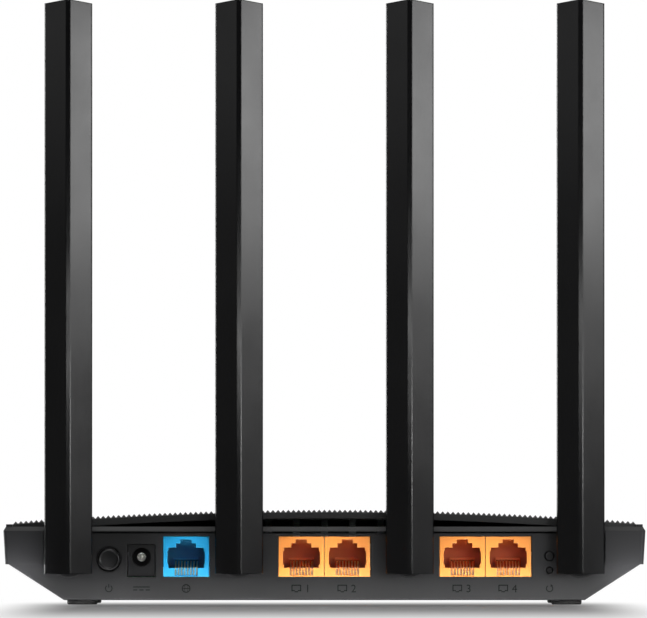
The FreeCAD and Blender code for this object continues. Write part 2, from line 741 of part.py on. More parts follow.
def radios():
    places = [(-40.0, 52.0, 34.0, 30.0), (50.0, 56.0, 24.0, 30.0)]
    cans = []
    for i, (x, y, wide, deep) in enumerate(places):
        outside = block_on_board(f"can_outside_{i}", x, y, wide, deep, 3.0)
        inside = block_on_board(f"can_inside_{i}", x, y, wide - 0.6, deep - 0.6, 2.7)
        cans.append(cut(f"can_{i}", outside, inside))
    part("radio_shields", group("radio_shields", cans))
    chips = [block_on_board(f"radio_{i}", x, y, 9.0, 9.0, 0.9) for i, (x, y, _, _) in enumerate(places)]
    part("radio_chips", group("radio_chips", chips))


def small_components():
    xs = [s.wan_x] + LAN_X
    part("port_transformers",
         group("port_transformers",
               [block_on_board(f"transformer_{i}", x, 25.0, 12.6, 8.6, 5.8) for i, x in enumerate(xs)]))
    tall = [(-68.0, 30.0), (-58.0, 28.0), (-66.5, 48.0), (72.5, 46.0)]
    outline = [(0, 0), (3.1, 0), (3.1, 7.6), (2.8, 8.0), (0, 8.0)]
    cans = [turned_at(f"capacitor_{i}", outline, x, PANEL_Y + y, s.board_top) for i, (x, y) in enumerate(tall)]
    part("capacitors", group("capacitors", cans))
    coils = [block_on_board("inductor_0", -66.5, 54.6, 6.0, 6.0, 3.2),
             block_on_board("inductor_1", -66.5, 61.4, 6.0, 6.0, 3.2)]
    part("inductors", group("inductors", coils))


# ---------------------------------------------------------------- network ports

def network_jack(label, x):
    """One socket: a T-shaped mouth with eight slots in its lower lip for the contacts."""
    body = new_body(label)
    half = s.jack_wide / 2
    pad(body, "XZ", rectangle(-half, 0, half, s.jack_high), as_size(0), s.jack_deep)
    bulge = s.mouth_half + s.mouth_bulge
    step = as_size(1.0)
    mouth = wide_outline(
        (s.mouth_half, s.mouth_low), (s.mouth_half, s.mouth_low + step), (bulge, s.mouth_low + step * 1.3),
        (bulge, s.mouth_top - step * 1.4), (s.mouth_half, s.mouth_top - step * 1.1),
        (s.mouth_half, s.mouth_top), (s.latch_half, s.mouth_top), (s.latch_half, s.latch_top),
        (s.key_half, s.latch_top), (s.key_half, s.key_top))
    pocket(body, "XZ", mouth, as_size(0), s.mouth_deep)
    left = -s.contact_pitch * 3.5 - s.contact_wide / 2 - 0.08
    slot = pocket(body, "XZ", rectangle(left, 0.35, left + s.contact_wide + 0.16, s.mouth_low + 0.3),
                  as_size(0), as_size(8.0))
    row_of(body, slot, "H_Axis", s.contact_pitch, 8)
    part(label, place(body, x, PANEL_Y, s.board_top))


def contact_row(name, x):
    """Eight bent springs: up from the lip's slots and back to the rear of the mouth."""
    thick = s.contact_thick
    low, back = 0.75, 10.6
    outline = [(low, 0.5), (7.6, 0.5), (7.6, 0.5 + thick), (low + 0.55, 0.5 + thick),
               (low + 0.55, 1.5), (low + 1.6, s.mouth_low - 0.15), (back, s.contact_rise - thick),
               (back, s.contact_rise), (low + 1.3, s.mouth_low + 0.15), (low, 1.7)]
    springs = []
    for i in range(8):
        spring = prism(f"{name}_{i}", "YZ", [(PANEL_Y + y, s.board_top + z) for y, z in outline],
                       x + s.contact_pitch * (i - 3.5) - s.contact_wide / 2, s.contact_wide)
        springs.append(spring)
    return springs


def network_ports():
    network_jack("wan_jack", s.wan_x)
    part("wan_contacts", group("wan_contacts", contact_row("wan_contact", s.wan_x)))
    springs = []
    for i, x in enumerate(LAN_X, start=1):
        network_jack(f"lan_jack_{i}", x)
        springs += contact_row(f"lan_contact_{i}", x)
    part("lan_contacts", group("lan_contacts", springs))


# ---------------------------------------------------------------- power socket

def power_socket():
    face = PANEL_Y + s.power_recess
    half = s.power_wide / 2
    block = box("power_block", (s.power_x - half, face, s.board_top),
                (s.power_x + half, face + s.power_deep, s.board_top + s.power_high))
    bore = cylinder("power_bore", "Y", (s.power_x, face, s.power_hole_z), s.power_hole_r, s.power_hole_deep)
    part("power_jack", cut("power_jack", block, bore))
    tip = s.power_pin_r * 0.45
    base = as_size(1.2)
    outline = [(0, 0), (s.power_pin_r + 0.5, 0), (s.power_pin_r + 0.5, base), (s.power_pin_r, base),
               (s.power_pin_r, s.power_hole_deep - 0.8 - tip), (s.power_pin_r * 0.75, s.power_hole_deep - 0.8 - tip * 0.35),
               (0, s.power_hole_deep - 0.8)]
    part("power_jack_pin", turned_at("power_jack_pin", outline, s.power_x, face + s.power_hole_deep,
                                     s.power_hole_z, Rotation(Vector(1, 0, 0), 90)))


# ---------------------------------------------------------------- buttons

def button(label, x, z, hole_r, cap_r, front, stem_r, stem_end, crown):
    """A round cap in a panel hole. A flange behind the panel keeps it in, and a stem reaches its switch."""
    body = new_body(label)
    flange = hole_r + 0.7
    behind = s.case_wall + s.gap - front
    outline = [(0, 0), (cap_r - crown, 0), (cap_r, crown), (cap_r, behind), (flange, behind),
               (flange, behind + 0.8), (stem_r, behind + 0.8), (stem_r, stem_end - front), (0, stem_end - front)]
    turn(body, outline)
    place(body, x, PANEL_Y + front, z, turn=Rotation(Vector(1, 0, 0), -90))
    return part(label, body)


def buttons():
    button("power_button", s.switch_x, s.switch_z, s.switch_hole_r - 0.2, s.switch_cap_r, -s.switch_proud,
           as_size(1.6), as_size(6.4), as_size(0.5))
    plunger = cylinder("power_switch_plunger", "Y", (s.switch_x, PANEL_Y + 6.4, s.switch_z), s.plunger_r, 6.0)
    part("power_switch_plunger", plunger)
    switch = box("power_switch_block", (s.switch_x - 4.0, PANEL_Y + 8.4, s.board_top),
                 (s.switch_x + 4.0, PANEL_Y + 17.4, s.switch_z + 3.8))
    bore = cylinder("power_switch_bore", "Y", (s.switch_x, PANEL_Y + 8.4, s.switch_z),
                    s.plunger_r + s.slide_gap, s.switch_travel + 4.4)
    part("power_switch", cut("power_switch", switch, bore))
    face = as_size(7.0)
    for label, z, hole_r, cap_r, front in (("wps", s.wps_z, s.wps_hole_r, s.wps_cap_r, as_size(0.1)),
                                           ("reset", s.reset_z, s.reset_hole_r, s.reset_cap_r, as_size(0.9))):
        button(f"{label}_button", s.small_x, z, hole_r - 0.2, cap_r, front, as_size(0.8), face + 0.7, as_size(0.2))
    middle = (s.wps_z + s.reset_z) / 2
    upper = box("wps_block", (s.small_x - 3.0, PANEL_Y + face, middle + 0.1),
                (s.small_x + 3.0, PANEL_Y + face + 3.6, s.wps_z + 3.0))
    bracket = box("wps_bracket", (s.small_x - 3.0, PANEL_Y + face + 3.6, s.board_top),
                  (s.small_x + 3.0, PANEL_Y + face + 4.6, s.wps_z + 3.0))
    lower = box("reset_block", (s.small_x - 2.4, PANEL_Y + face, s.board_top),
                (s.small_x + 2.4, PANEL_Y + face + 3.4, middle - 0.1))
    wells = [cylinder(f"{name}_well", "Y", (s.small_x, PANEL_Y + face, z), as_size(0.8) + s.slide_gap, 1.4)
             for name, z in (("wps", s.wps_z), ("reset", s.reset_z))]
    part("wps_switch", cut("wps_switch", fuse("wps_body", upper, bracket), wells[0]))
    part("reset_switch", cut("reset_switch", lower, wells[1]))


# ---------------------------------------------------------------- antennas

def antenna_cutters(name, x):
    """Room for the knuckle's tongue over its whole travel, and a barrel-shaped lower end."""
    radius = s.tongue_r + s.tongue_gap
    half = s.tongue_wide / 2 + s.tongue_gap
    round_room = cylinder(f"{name}_round_room", "X", (x - half, PIVOT_Y, PIVOT_Z), radius, half * 2)
    front_room = box(f"{name}_front_room", (x - half, PIVOT_Y, PIVOT_Z - s.tail - 1),
                     (x + half, PIVOT_Y + s.front_deep, PIVOT_Z + radius))
    low_room = box(f"{name}_low_room", (x - half, PIVOT_Y - radius, PIVOT_Z - s.tail - 1),
                   (x + half, PIVOT_Y + 1, PIVOT_Z))
    return [round_room, front_room, low_room]


def heel_cutter(name, x):
    """What the lower front corner loses, so that it clears the panel as the antenna folds back."""
    corner = box(f"{name}_corner", (x - s.antenna_wide, PIVOT_Y, s.antenna_low - 1),
                 (x + s.antenna_wide, PIVOT_Y + s.front_deep + 1, PIVOT_Z))
    barrel = cylinder(f"{name}_barrel", "X", (x - s.antenna_wide, PIVOT_Y, PIVOT_Z), s.tail, s.antenna_wide * 2)
    return cut(f"{name}_heel", corner, barrel)


def tip_cutter(name, x):
    """The tip falls from the ridge towards the front."""
    steep = s.antenna_slant / s.ridge_deep
    ridge = SEAM_Y - s.ridge_deep
    front = SEAM_Y + s.front_deep
    fall = steep * (s.ridge_deep + s.front_deep + 2)
    outline = [(ridge - 1, s.antenna_top + steep), (ridge - 1, s.antenna_top + 5), (front + 1, s.antenna_top + 5),
               (front + 1, s.antenna_top + steep - fall)]
    return prism(f"{name}_tip", "YZ", outline, x - s.antenna_wide, s.antenna_wide * 2)


def antenna_half(label, x, outline, hollow, seam):
    """One moulded half: an outline pushed up the antenna's length, its edges rounded, its hollow cut out."""
    body = new_body(f"{label}_body")
    length = s.antenna_top - s.antenna_low
    pad(body, "XY", outline, s.antenna_low, length)
    round_edges(body, as_size(0.3), lambda b: b.ZLength > length.value - 1 and not near(b.YMin, seam.value))
    pocket(body, "XY", hollow, PIVOT_Z + 9, length - s.tail - 9 - s.shell_wall * 2)
    place(body, x, 0, 0)
    cutters = antenna_cutters(label, x) + [heel_cutter(label, x), tip_cutter(label, x)]
    return cut(f"{label}_shaped", body, *cutters)


def antenna_shells(number, x):
    half, ridge = s.antenna_wide / 2, s.ridge_flat / 2
    back_y, front_y = SEAM_Y - s.ridge_deep, SEAM_Y + s.front_deep
    deep = s.ridge_deep - s.shell_wall * 1.2
    back_outline = [(-half, SEAM_Y), (-ridge, back_y), (ridge, back_y), (half, SEAM_Y)]
    hollow_half = half - s.shell_wall * 2
    back_hollow = [(-hollow_half, SEAM_Y), (-ridge, SEAM_Y - deep), (ridge, SEAM_Y - deep), (hollow_half, SEAM_Y)]
    back = antenna_half(f"antenna_{number}_back", x, back_outline, back_hollow, SEAM_Y)
    part(f"antenna_{number}_back_shell", back)
    flat = s.front_flat / 2
    front_outline = [(-half, SEAM_Y), (half, SEAM_Y), (half, SEAM_Y + s.side_flat), (flat, front_y),
                     (-flat, front_y), (-half, SEAM_Y + s.side_flat)]
    inner = flat - s.shell_wall
    front_hollow = rectangle(-inner, SEAM_Y, inner, front_y - s.shell_wall)
    front = antenna_half(f"antenna_{number}_front", x, front_outline, front_hollow, SEAM_Y)
    pin_way = cylinder(f"pin_way_{number}", "X", (x - s.pin_long / 2 - s.gap, PIVOT_Y, PIVOT_Z), s.pin_r + 0.02,
                       s.antenna_wide)
    part(f"antenna_{number}_front_shell", cut(f"antenna_{number}_front_bored", front, pin_way))
    part(f"antenna_{number}_hinge_pin", cylinder(f"hinge_pin_{number}", "X", (x - s.pin_long / 2, PIVOT_Y, PIVOT_Z),
                                                 s.pin_r, s.pin_long))


def radiator(number, x):
    """The strip that radiates, with its soldered feed, seated against the front shell."""
    front = SEAM_Y + s.front_deep - s.shell_wall - s.gap
    low = PIVOT_Z + 9 + s.shell_wall
    strip = box(f"strip_{number}", (x - s.strip_wide / 2, front - s.strip_thick, low + 4),
                (x + s.strip_wide / 2, front, low + 4 + s.strip_long))
    feed = cylinder(f"feed_{number}", "Z", (x, front - s.strip_thick - s.lead_r * 0.6, low), s.lead_r, 22.0)
    part(f"antenna_{number}_radiator", fuse(f"radiator_{number}", strip, feed))


def knuckle(number, x):
    """Turns in the port panel on its stub, and carries the antenna's hinge on its tongue."""
    body = new_body(f"knuckle_{number}")
    inner = s.case_wall + s.gap
    groove_r = s.stub_r - s.clip_groove
    groove_end = inner + s.clip_thick + s.hinge_gap * 2
    outline = [(0, -s.flange_thick), (s.flange_r - 0.4, -s.flange_thick), (s.flange_r, 0.4 - s.flange_thick),
               (s.flange_r, -s.hinge_gap), (s.stub_r, -s.hinge_gap), (s.stub_r, inner), (groove_r, inner),
               (groove_r, groove_end), (s.stub_r, groove_end), (s.stub_r, groove_end + 1), (0, groove_end + 1)]
    turn(body, outline)
    place(body, x, PANEL_Y, PIVOT_Z, turn=Rotation(Vector(1, 0, 0), -90))
    half = s.tongue_wide / 2
    tongue = box(f"tongue_{number}", (x - half, PIVOT_Y, PIVOT_Z - s.tongue_r),
                 (x + half, PANEL_Y - s.flange_thick + 0.2, PIVOT_Z + s.tongue_r))
    nose = cylinder(f"tongue_nose_{number}", "X", (x - half, PIVOT_Y, PIVOT_Z), s.tongue_r, s.tongue_wide)
    whole = fuse(f"knuckle_blank_{number}", body, tongue, nose)
    eye = cylinder(f"hinge_eye_{number}", "X", (x - half, PIVOT_Y, PIVOT_Z), s.pin_r + s.hinge_gap, s.tongue_wide)
    lead_way = cylinder(f"lead_way_{number}", "Y", (x, PIVOT_Y + s.pin_r + 1, PIVOT_Z), s.stub_bore_r,
                        s.reach - s.pin_r + groove_end)
    lead_exit = cylinder(f"lead_exit_{number}", "Z", (x, PIVOT_Y + s.pin_r + 1.2 + s.stub_bore_r, PIVOT_Z),
                         s.stub_bore_r - 0.2, s.tongue_r + 1)
    part(f"antenna_{number}_knuckle", cut(f"knuckle_cut_{number}", whole, eye, lead_way, lead_exit))
    ring = cylinder(f"clip_ring_{number}", "Y", (x, PANEL_Y + inner + s.hinge_gap, PIVOT_Z), s.stub_r + s.clip_grip, s.clip_thick)
    hole = cylinder(f"clip_hole_{number}", "Y", (x, PANEL_Y + inner + s.hinge_gap, PIVOT_Z), groove_r + s.hinge_gap,
                    s.clip_thick)
    mouth = box(f"clip_mouth_{number}", (x - groove_r * 0.7, PANEL_Y + inner, PIVOT_Z),
                (x + groove_r * 0.7, PANEL_Y + groove_end + 1, PIVOT_Z + s.stub_r + s.clip_grip + 1))
    part(f"antenna_{number}_clip", cut(f"clip_{number}", ring, hole, mouth))


def rounded_path(points):
    """Straight runs joined by arcs tangent to both, each as large as 0.45 of its shorter run allows."""
    edges, start = [], points[0]
    for before, corner, after in zip(points, points[1:], points[2:]):
        coming, going = corner - before, after - corner
        turned = coming.getAngle(going)
        set_back = 0.45 * min(coming.Length, going.Length)
        radius = set_back / math.tan(turned / 2)
        print(f"  bend radius {radius:.1f} mm")
        first = corner - coming * (set_back / coming.Length)
        last = corner + going * (set_back / going.Length)
        inward = (going * (1 / going.Length) - coming * (1 / coming.Length)).normalize()
        middle = corner + inward * (math.hypot(set_back, radius) - radius)
        edges += [Part.LineSegment(start, first).toShape(), Part.Arc(first, middle, last).toShape()]
        start = last
    edges.append(Part.LineSegment(start, points[-1]).toShape())
    return Part.Wire(edges)


def antenna_leads():
    """Thin coaxial leads, from inside each knuckle's stub to their solder pads on the main board."""
    pad_z = s.board_top.value + s.lead_r.value
    level = PIVOT_Z.value
    routes = [(-77.0, -74.0), (-27.0, -26.0), (30.0, 31.0), (76.0, 73.0)]
    solids = []
    for x, (turn_x, pad_x) in zip(ANTENNA_X, routes):
        stops = [(x.value, 3.0, level), (x.value, 10.5, level), (turn_x, 21.0, level - 1.5),
                 (pad_x, 30.0, pad_z), (pad_x, 35.0, pad_z)]
        points = [Vector(u, PANEL_Y.value + v, w) for u, v, w in stops]
        path = rounded_path(points)
        start = points[0]
        ring = Part.Wire(Part.makeCircle(s.lead_r.value, start, Vector(0, 1, 0)))
        solid = path.makePipeShell([ring], True, True)
        section = math.pi * s.lead_r.value ** 2
        print(f"  lead of {path.Length:.1f} mm, volume over section x length {solid.Volume / section / path.Length:.3f}")
        solids.append(solid)
    leads = doc.addObject("Part::Feature", "antenna_leads")
    leads.Shape = Part.makeCompound(solids)
    part("antenna_leads", leads)


def antennas():
    for number, x in enumerate(ANTENNA_X, start=1):
        antenna_shells(number, x)
        radiator(number, x)
        knuckle(number, x)
    antenna_leads()


# ---------------------------------------------------------------- build, check and write

def check():
    """Stops if any object failed, any cut removed nothing, or any sub-part isn't a sound solid."""
    for thing in doc.Objects:
        if {"Invalid", "Error"} & set(thing.State):
            raise RuntimeError(f"{thing.Name} failed: {thing.State}")
        base = None
        if thing.TypeId == "Part::Cut":
            base = thing.Base
        elif thing.TypeId in ("PartDesign::Pocket", "PartDesign::Groove"):
            base = thing.BaseFeature
        if base is not None and thing.Shape.Volume > base.Shape.Volume - 0.01:
            raise RuntimeError(f"{thing.Name} cut nothing away")
    for thing in PARTS:
        shape = thing.Shape
        if shape.isNull() or not shape.isValid() or not shape.Solids:
            raise RuntimeError(f"{thing.Label} has no valid shape")


def write():
    os.makedirs("parts", exist_ok=True)
    for thing in PARTS:
        thing.Shape.exportStep(os.path.join("parts", f"{thing.Label}.step"))
    whole = Part.makeCompound([thing.Shape for thing in PARTS]).BoundBox
    print(f"{len(PARTS)} sub-parts, {whole.XLength:.2f} x {whole.YLength:.2f} x {whole.ZLength:.2f} mm,"
          f" from ({whole.XMin:.2f}, {whole.YMin:.2f}, {whole.ZMin:.2f})")


lower_case()
upper_frame()
top_grille()
status_lights()
rubber_feet()
screws()
main_board()
processor_stack()
radios()
small_components()
network_ports()
power_socket()
buttons()
antennas()
doc.recompute()
check()
write()
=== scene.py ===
# %% [markdown]
# # A wireless router, seen from its port side
#
# The imported CAD model is the frame of this scene: it gives every part its place. This script gives each part
# its surface, adds the pieces whose fine shape the CAD model leaves plain, and sets up a small photo studio.
# Lengths are in metres.

import json
import math

import bmesh
import bpy
from mathutils import Matrix, Vector


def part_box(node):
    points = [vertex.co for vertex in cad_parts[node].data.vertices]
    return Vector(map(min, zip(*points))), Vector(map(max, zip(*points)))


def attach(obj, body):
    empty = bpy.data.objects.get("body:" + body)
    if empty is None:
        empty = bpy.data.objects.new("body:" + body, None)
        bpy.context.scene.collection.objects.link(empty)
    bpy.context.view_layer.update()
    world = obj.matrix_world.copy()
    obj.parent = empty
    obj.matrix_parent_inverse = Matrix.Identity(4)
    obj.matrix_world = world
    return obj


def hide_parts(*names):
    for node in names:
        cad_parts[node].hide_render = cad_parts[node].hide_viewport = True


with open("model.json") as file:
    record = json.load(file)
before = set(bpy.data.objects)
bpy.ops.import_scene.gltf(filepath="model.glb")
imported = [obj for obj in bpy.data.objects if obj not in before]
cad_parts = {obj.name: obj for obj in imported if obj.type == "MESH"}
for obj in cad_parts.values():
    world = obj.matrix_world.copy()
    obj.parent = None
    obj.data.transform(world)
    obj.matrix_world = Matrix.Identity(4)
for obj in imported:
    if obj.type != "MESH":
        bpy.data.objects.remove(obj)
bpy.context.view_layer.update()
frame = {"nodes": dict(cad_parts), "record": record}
NODES = frame["nodes"]

# %% [markdown]
# The camera comes first. It is far away and has a long lens, so upright edges stay parallel, as in a catalogue
# picture. It sits low, just above the case's height, and looks up a little at the middle of the antennas.
# Because it only looks up by a degree, no lens shift is needed.

# %% Camera
PANEL_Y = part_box("wan_jack")[0].y
CAMERA_DISTANCE = 4.5
CAMERA_HEIGHT = 0.030
VIEW_WIDTH = 0.2167
VIEW_CENTRE = Vector((-0.0003, PANEL_Y, 0.0990))

camera_data = bpy.data.cameras.new("camera")
camera_data.lens = camera_data.sensor_width * CAMERA_DISTANCE / VIEW_WIDTH
camera_data.clip_end = 30
camera = bpy.data.objects.new("camera", camera_data)
camera.location = (VIEW_CENTRE.x, PANEL_Y - CAMERA_DISTANCE, CAMERA_HEIGHT)
camera.rotation_euler = (VIEW_CENTRE - camera.location).to_track_quat("-Z", "Y").to_euler()
bpy.context.collection.objects.link(camera)
bpy.context.scene.camera = camera
bpy.context.scene.view_settings.view_transform = "Standard"
print("lens %.0f mm at %.1f m" % (camera_data.lens, CAMERA_DISTANCE))


# %% [markdown]
# A new piece is made in a bmesh, with Blender's own operators. These helpers turn a finished bmesh into an
# object that rides on one of the frame's bodies, and check that it is closed.

# %% Helpers for pieces
def finish_piece(bm, name, body, material, smooth_angle=None):
    """Makes an object from bm and lets it ride on a body."""
    loose = sum(1 for e in bm.edges if not e.is_manifold)
    mesh = bpy.data.meshes.new(name)
    bm.to_mesh(mesh)
    bm.free()
    piece = bpy.data.objects.new(name, mesh)
    bpy.context.collection.objects.link(piece)
    piece.data.materials.append(material)
    if smooth_angle is not None:
        mesh.shade_smooth()
        mesh.set_sharp_from_angle(angle=math.radians(smooth_angle))
    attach(piece, body)
    print(name, "faces:", len(mesh.polygons), "open edges:", loose)
    return piece


def moved(bm, verts, *offset):
    bmesh.ops.translate(bm, verts=verts, vec=Vector(offset))


def turned(bm, verts, degrees, axis):
    bmesh.ops.rotate(bm, verts=verts, cent=(0, 0, 0), matrix=Matrix.Rotation(math.radians(degrees), 3, axis))


def softened(bm, edges, width, segments=2):
    """Rounds the given edges."""
    bmesh.ops.bevel(
        bm, geom=edges, affect="EDGES", offset=width, segments=segments, profile=0.5, material=-1,
        clamp_overlap=True)


# %% [markdown]
# ## Surfaces
#
# Moulded plastic is never quite even. The steel mould leaves a fine grain, the gloss drifts slowly over a
# wall, and corners that hands and packaging rub are a shade lighter and shinier. Three node groups hold these
# effects, and each material uses them with its own numbers. The groups only put out numbers and colours that
# change over the surface; the shader stays in the material.

# %% Node group: mould grain
def new_group(name, inputs, outputs):
    """An empty shader group. Inputs are (name, kind, default), outputs are (name, kind)."""
    group = bpy.data.node_groups.new(name, "ShaderNodeTree")
    for label, kind, default in inputs:
        socket = group.interface.new_socket(name=label, in_out="INPUT", socket_type="NodeSocket" + kind)
        if default is not None:
            socket.default_value = default
    for label, kind in outputs:
        group.interface.new_socket(name=label, in_out="OUTPUT", socket_type="NodeSocket" + kind)
    start = group.nodes.new("NodeGroupInput")
    end = group.nodes.new("NodeGroupOutput")
    return group, start, end


def math_node(tree, operation, a, b=None, clamp=False):
    node = tree.nodes.new("ShaderNodeMath")
    node.operation = operation
    node.use_clamp = clamp
    for socket, value in zip(node.inputs, (a, b)):
        if value is None:
            continue
        if isinstance(value, (int, float)):
            socket.default_value = value
        else:
            tree.links.new(value, socket)
    return node.outputs[0]


def noise_node(tree, place, scale, detail=2.0, rough=0.5):
    node = tree.nodes.new("ShaderNodeTexNoise")
    node.inputs["Detail"].default_value = detail
    node.inputs["Roughness"].default_value = rough
    tree.links.new(place, node.inputs["Vector"])
    if isinstance(scale, (int, float)):
        node.inputs["Scale"].default_value = scale
    else:
        tree.links.new(scale, node.inputs["Scale"])
    return node.outputs["Fac"]


def range_node(tree, value, low, high, new_low, new_high):
    node = tree.nodes.new("ShaderNodeMapRange")
    for label, number in (("From Min", low), ("From Max", high), ("To Min", new_low), ("To Max", new_high)):
        node.inputs[label].default_value = number
    tree.links.new(value, node.inputs["Value"])
    return node.outputs["Result"]


grain, start, end = new_group(
    "mould_grain",
    [("Place", "Vector", None), ("Grains per metre", "Float", 3000.0)],
    [("Height", "Float"), ("Drift", "Float")])
fine = noise_node(grain, start.outputs["Place"], start.outputs["Grains per metre"], detail=3.0, rough=0.6)
pits = grain.nodes.new("ShaderNodeTexVoronoi")
pits.feature = "SMOOTH_F1"
grain.links.new(start.outputs["Place"], pits.inputs["Vector"])
grain.links.new(start.outputs["Grains per metre"], pits.inputs["Scale"])
grain.links.new(math_node(grain, "ADD", fine, pits.outputs["Distance"]), end.inputs["Height"])
slow = noise_node(grain, start.outputs["Place"], 35.0, detail=4.0, rough=0.55)
grain.links.new(slow, end.inputs["Drift"])
print("group:", grain.name)

# %% [markdown]
# Wear follows the outside corners. The Bevel node tells how the surface would point if the corner were
# rounded; where that differs from the real direction, there is an edge. Noise breaks the mask up, so that the
# wear comes and goes.

# %% Node group: edge wear
wear, start, end = new_group(
    "edge_wear",
    [("Place", "Vector", None), ("Rounded normal", "Vector", None)],
    [("Mask", "Float")])
flat_normal = wear.nodes.new("ShaderNodeNewGeometry").outputs["Normal"]
across = wear.nodes.new("ShaderNodeVectorMath")
across.operation = "DOT_PRODUCT"
wear.links.new(start.outputs["Rounded normal"], across.inputs[0])
wear.links.new(flat_normal, across.inputs[1])
bend = range_node(wear, across.outputs["Value"], 0.998, 0.86, 0.0, 1.0)
broken = noise_node(wear, start.outputs["Place"], 260.0, detail=5.0, rough=0.65)
rubbed = range_node(wear, broken, 0.42, 0.62, 0.1, 1.0)
wear.links.new(math_node(wear, "MULTIPLY", bend, rubbed, clamp=True), end.inputs["Mask"])
print("group:", wear.name)

# %% [markdown]
# Dust settles on what faces up, in loose patches. It is very thin here: the object is nearly new.

# %% Node group: dust
dust, start, end = new_group("dust", [("Place", "Vector", None)], [("Mask", "Float")])
upward = dust.nodes.new("ShaderNodeSeparateXYZ")
dust.links.new(dust.nodes.new("ShaderNodeNewGeometry").outputs["Normal"], upward.inputs[0])
facing_up = range_node(dust, upward.outputs["Z"], 0.4, 1.0, 0.0, 1.0)
specks = range_node(dust, noise_node(dust, start.outputs["Place"], 900.0, detail=6.0, rough=0.7), 0.5, 0.75, 0.0, 1.0)
patches = range_node(dust, noise_node(dust, start.outputs["Place"], 22.0, detail=3.0), 0.35, 0.7, 0.2, 1.0)
settled = math_node(dust, "MULTIPLY", specks, patches)
dust.links.new(math_node(dust, "MULTIPLY", settled, facing_up, clamp=True), end.inputs["Mask"])
print("group:", dust.name)


# %% [markdown]
# One function assembles a material from those groups. Each finish then is one call that says its colour, its
# gloss, how coarse its grain is, and how much wear and dust it shows.

# %% The general finish
def mix_colours(tree, mask, first, second):
    node = tree.nodes.new("ShaderNodeMix")
    node.data_type = "RGBA"
    tree.links.new(mask, node.inputs["Factor"])
    for socket, colour in ((node.inputs["A"], first), (node.inputs["B"], second)):
        if isinstance(colour, tuple):
            socket.default_value = (*colour, 1.0)
        else:
            tree.links.new(colour, socket)
    return node.outputs["Result"]


def place_group(tree, group, **values):
    node = tree.nodes.new("ShaderNodeGroup")
    node.node_tree = group
    for label, value in values.items():
        socket = node.inputs[label.replace("_", " ")]
        if isinstance(value, (int, float)):
            socket.default_value = value
        else:
            tree.links.new(value, socket)
    return node


def finish(name, colour, rough, grains=2600.0, depth=0.00002, spread=0.08, edge=0.00025, worn=0.35,
           dusty=0.12, metallic=0.0, specular=0.5, coat=0.0, light_edge=None, tint=0.12):
    """A material: colour and gloss with mould grain, slow drift, worn edges and a little dust."""
    material = bpy.data.materials.new(name)
    material.use_nodes = True
    tree = material.node_tree
    shader = tree.nodes["Principled BSDF"]
    shader.inputs["Metallic"].default_value = metallic
    shader.inputs["Specular IOR Level"].default_value = specular
    shader.inputs["Coat Weight"].default_value = coat
    shader.inputs["Coat Roughness"].default_value = 0.12
    place = tree.nodes.new("ShaderNodeTexCoord").outputs["Object"]
    rounded = tree.nodes.new("ShaderNodeBevel")
    rounded.samples = 4
    rounded.inputs["Radius"].default_value = edge
    texture = place_group(tree, grain, Place=place, Grains_per_metre=grains)
    edges = place_group(tree, wear, Place=place, Rounded_normal=rounded.outputs["Normal"])
    dirt = place_group(tree, dust, Place=place)

    pale = light_edge or tuple(min(1.0, c * 1.9 + 0.012) for c in colour)
    darker = tuple(c * (1 - tint) for c in colour)
    lighter = tuple(c * (1 + tint) for c in colour)
    base = mix_colours(tree, texture.outputs["Drift"], darker, lighter)
    base = mix_colours(tree, math_node(tree, "MULTIPLY", edges.outputs["Mask"], worn), base, pale)
    base = mix_colours(tree, math_node(tree, "MULTIPLY", dirt.outputs["Mask"], dusty), base, (0.36, 0.34, 0.31))
    tree.links.new(base, shader.inputs["Base Color"])

    gloss = range_node(tree, texture.outputs["Drift"], 0.3, 0.7, rough - spread, rough + spread)
    gloss = math_node(tree, "SUBTRACT", gloss, math_node(tree, "MULTIPLY", edges.outputs["Mask"], worn * 0.3))
    gloss = math_node(tree, "ADD", gloss, math_node(tree, "MULTIPLY", dirt.outputs["Mask"], dusty), clamp=True)
    tree.links.new(gloss, shader.inputs["Roughness"])

    bump = tree.nodes.new("ShaderNodeBump")
    bump.inputs["Distance"].default_value = depth
    bump.inputs["Strength"].default_value = 0.6
    tree.links.new(texture.outputs["Height"], bump.inputs["Height"])
    tree.links.new(rounded.outputs["Normal"], bump.inputs["Normal"])
    tree.links.new(bump.outputs["Normal"], shader.inputs["Normal"])
    return material


# %% [markdown]
# The case and the lid are the same black plastic, but the lid's mould is polished a little more. The antennas are
# glossier still. Socket plastics are clean, because nobody touches them, and the metals differ mainly in colour
# and in how sharply they mirror. Black plastic is never quite black: about one percent of the light comes back.

# %% Plastics, rubber and metals
CASE = finish("case_plastic", (0.011, 0.011, 0.0118), 0.44, grains=2600, depth=0.000016, specular=0.42)
LID = finish("lid_plastic", (0.011, 0.011, 0.0118), 0.36, grains=3200, depth=0.000010, specular=0.5)
ANTENNA = finish("antenna_plastic", (0.0045, 0.0045, 0.0050), 0.17, grains=3400, depth=0.000002, specular=0.5,
                 worn=0.15, dusty=0.03, spread=0.03, edge=0.00045)
BUTTON = finish("button_plastic", (0.0055, 0.0055, 0.006), 0.36, grains=3000, depth=0.000006)
RUBBER = finish("rubber", (0.016, 0.016, 0.016), 0.72, grains=1800, depth=0.00003, specular=0.3, worn=0.5)
BLUE = finish("blue_plastic", (0.001, 0.250, 0.500), 0.42, grains=2200, depth=0.000008, dusty=0.0, worn=0.4,
              light_edge=(0.10, 0.45, 0.85), tint=0.06)
ORANGE = finish("orange_plastic", (0.760, 0.265, 0.048), 0.38, grains=2200, depth=0.000008, dusty=0.0, worn=0.4,
                light_edge=(0.95, 0.50, 0.20), tint=0.05)
SOCKET = finish("socket_plastic", (0.0085, 0.0085, 0.009), 0.42, grains=2400, depth=0.000006, dusty=0.0,
                specular=0.35, worn=0.25)
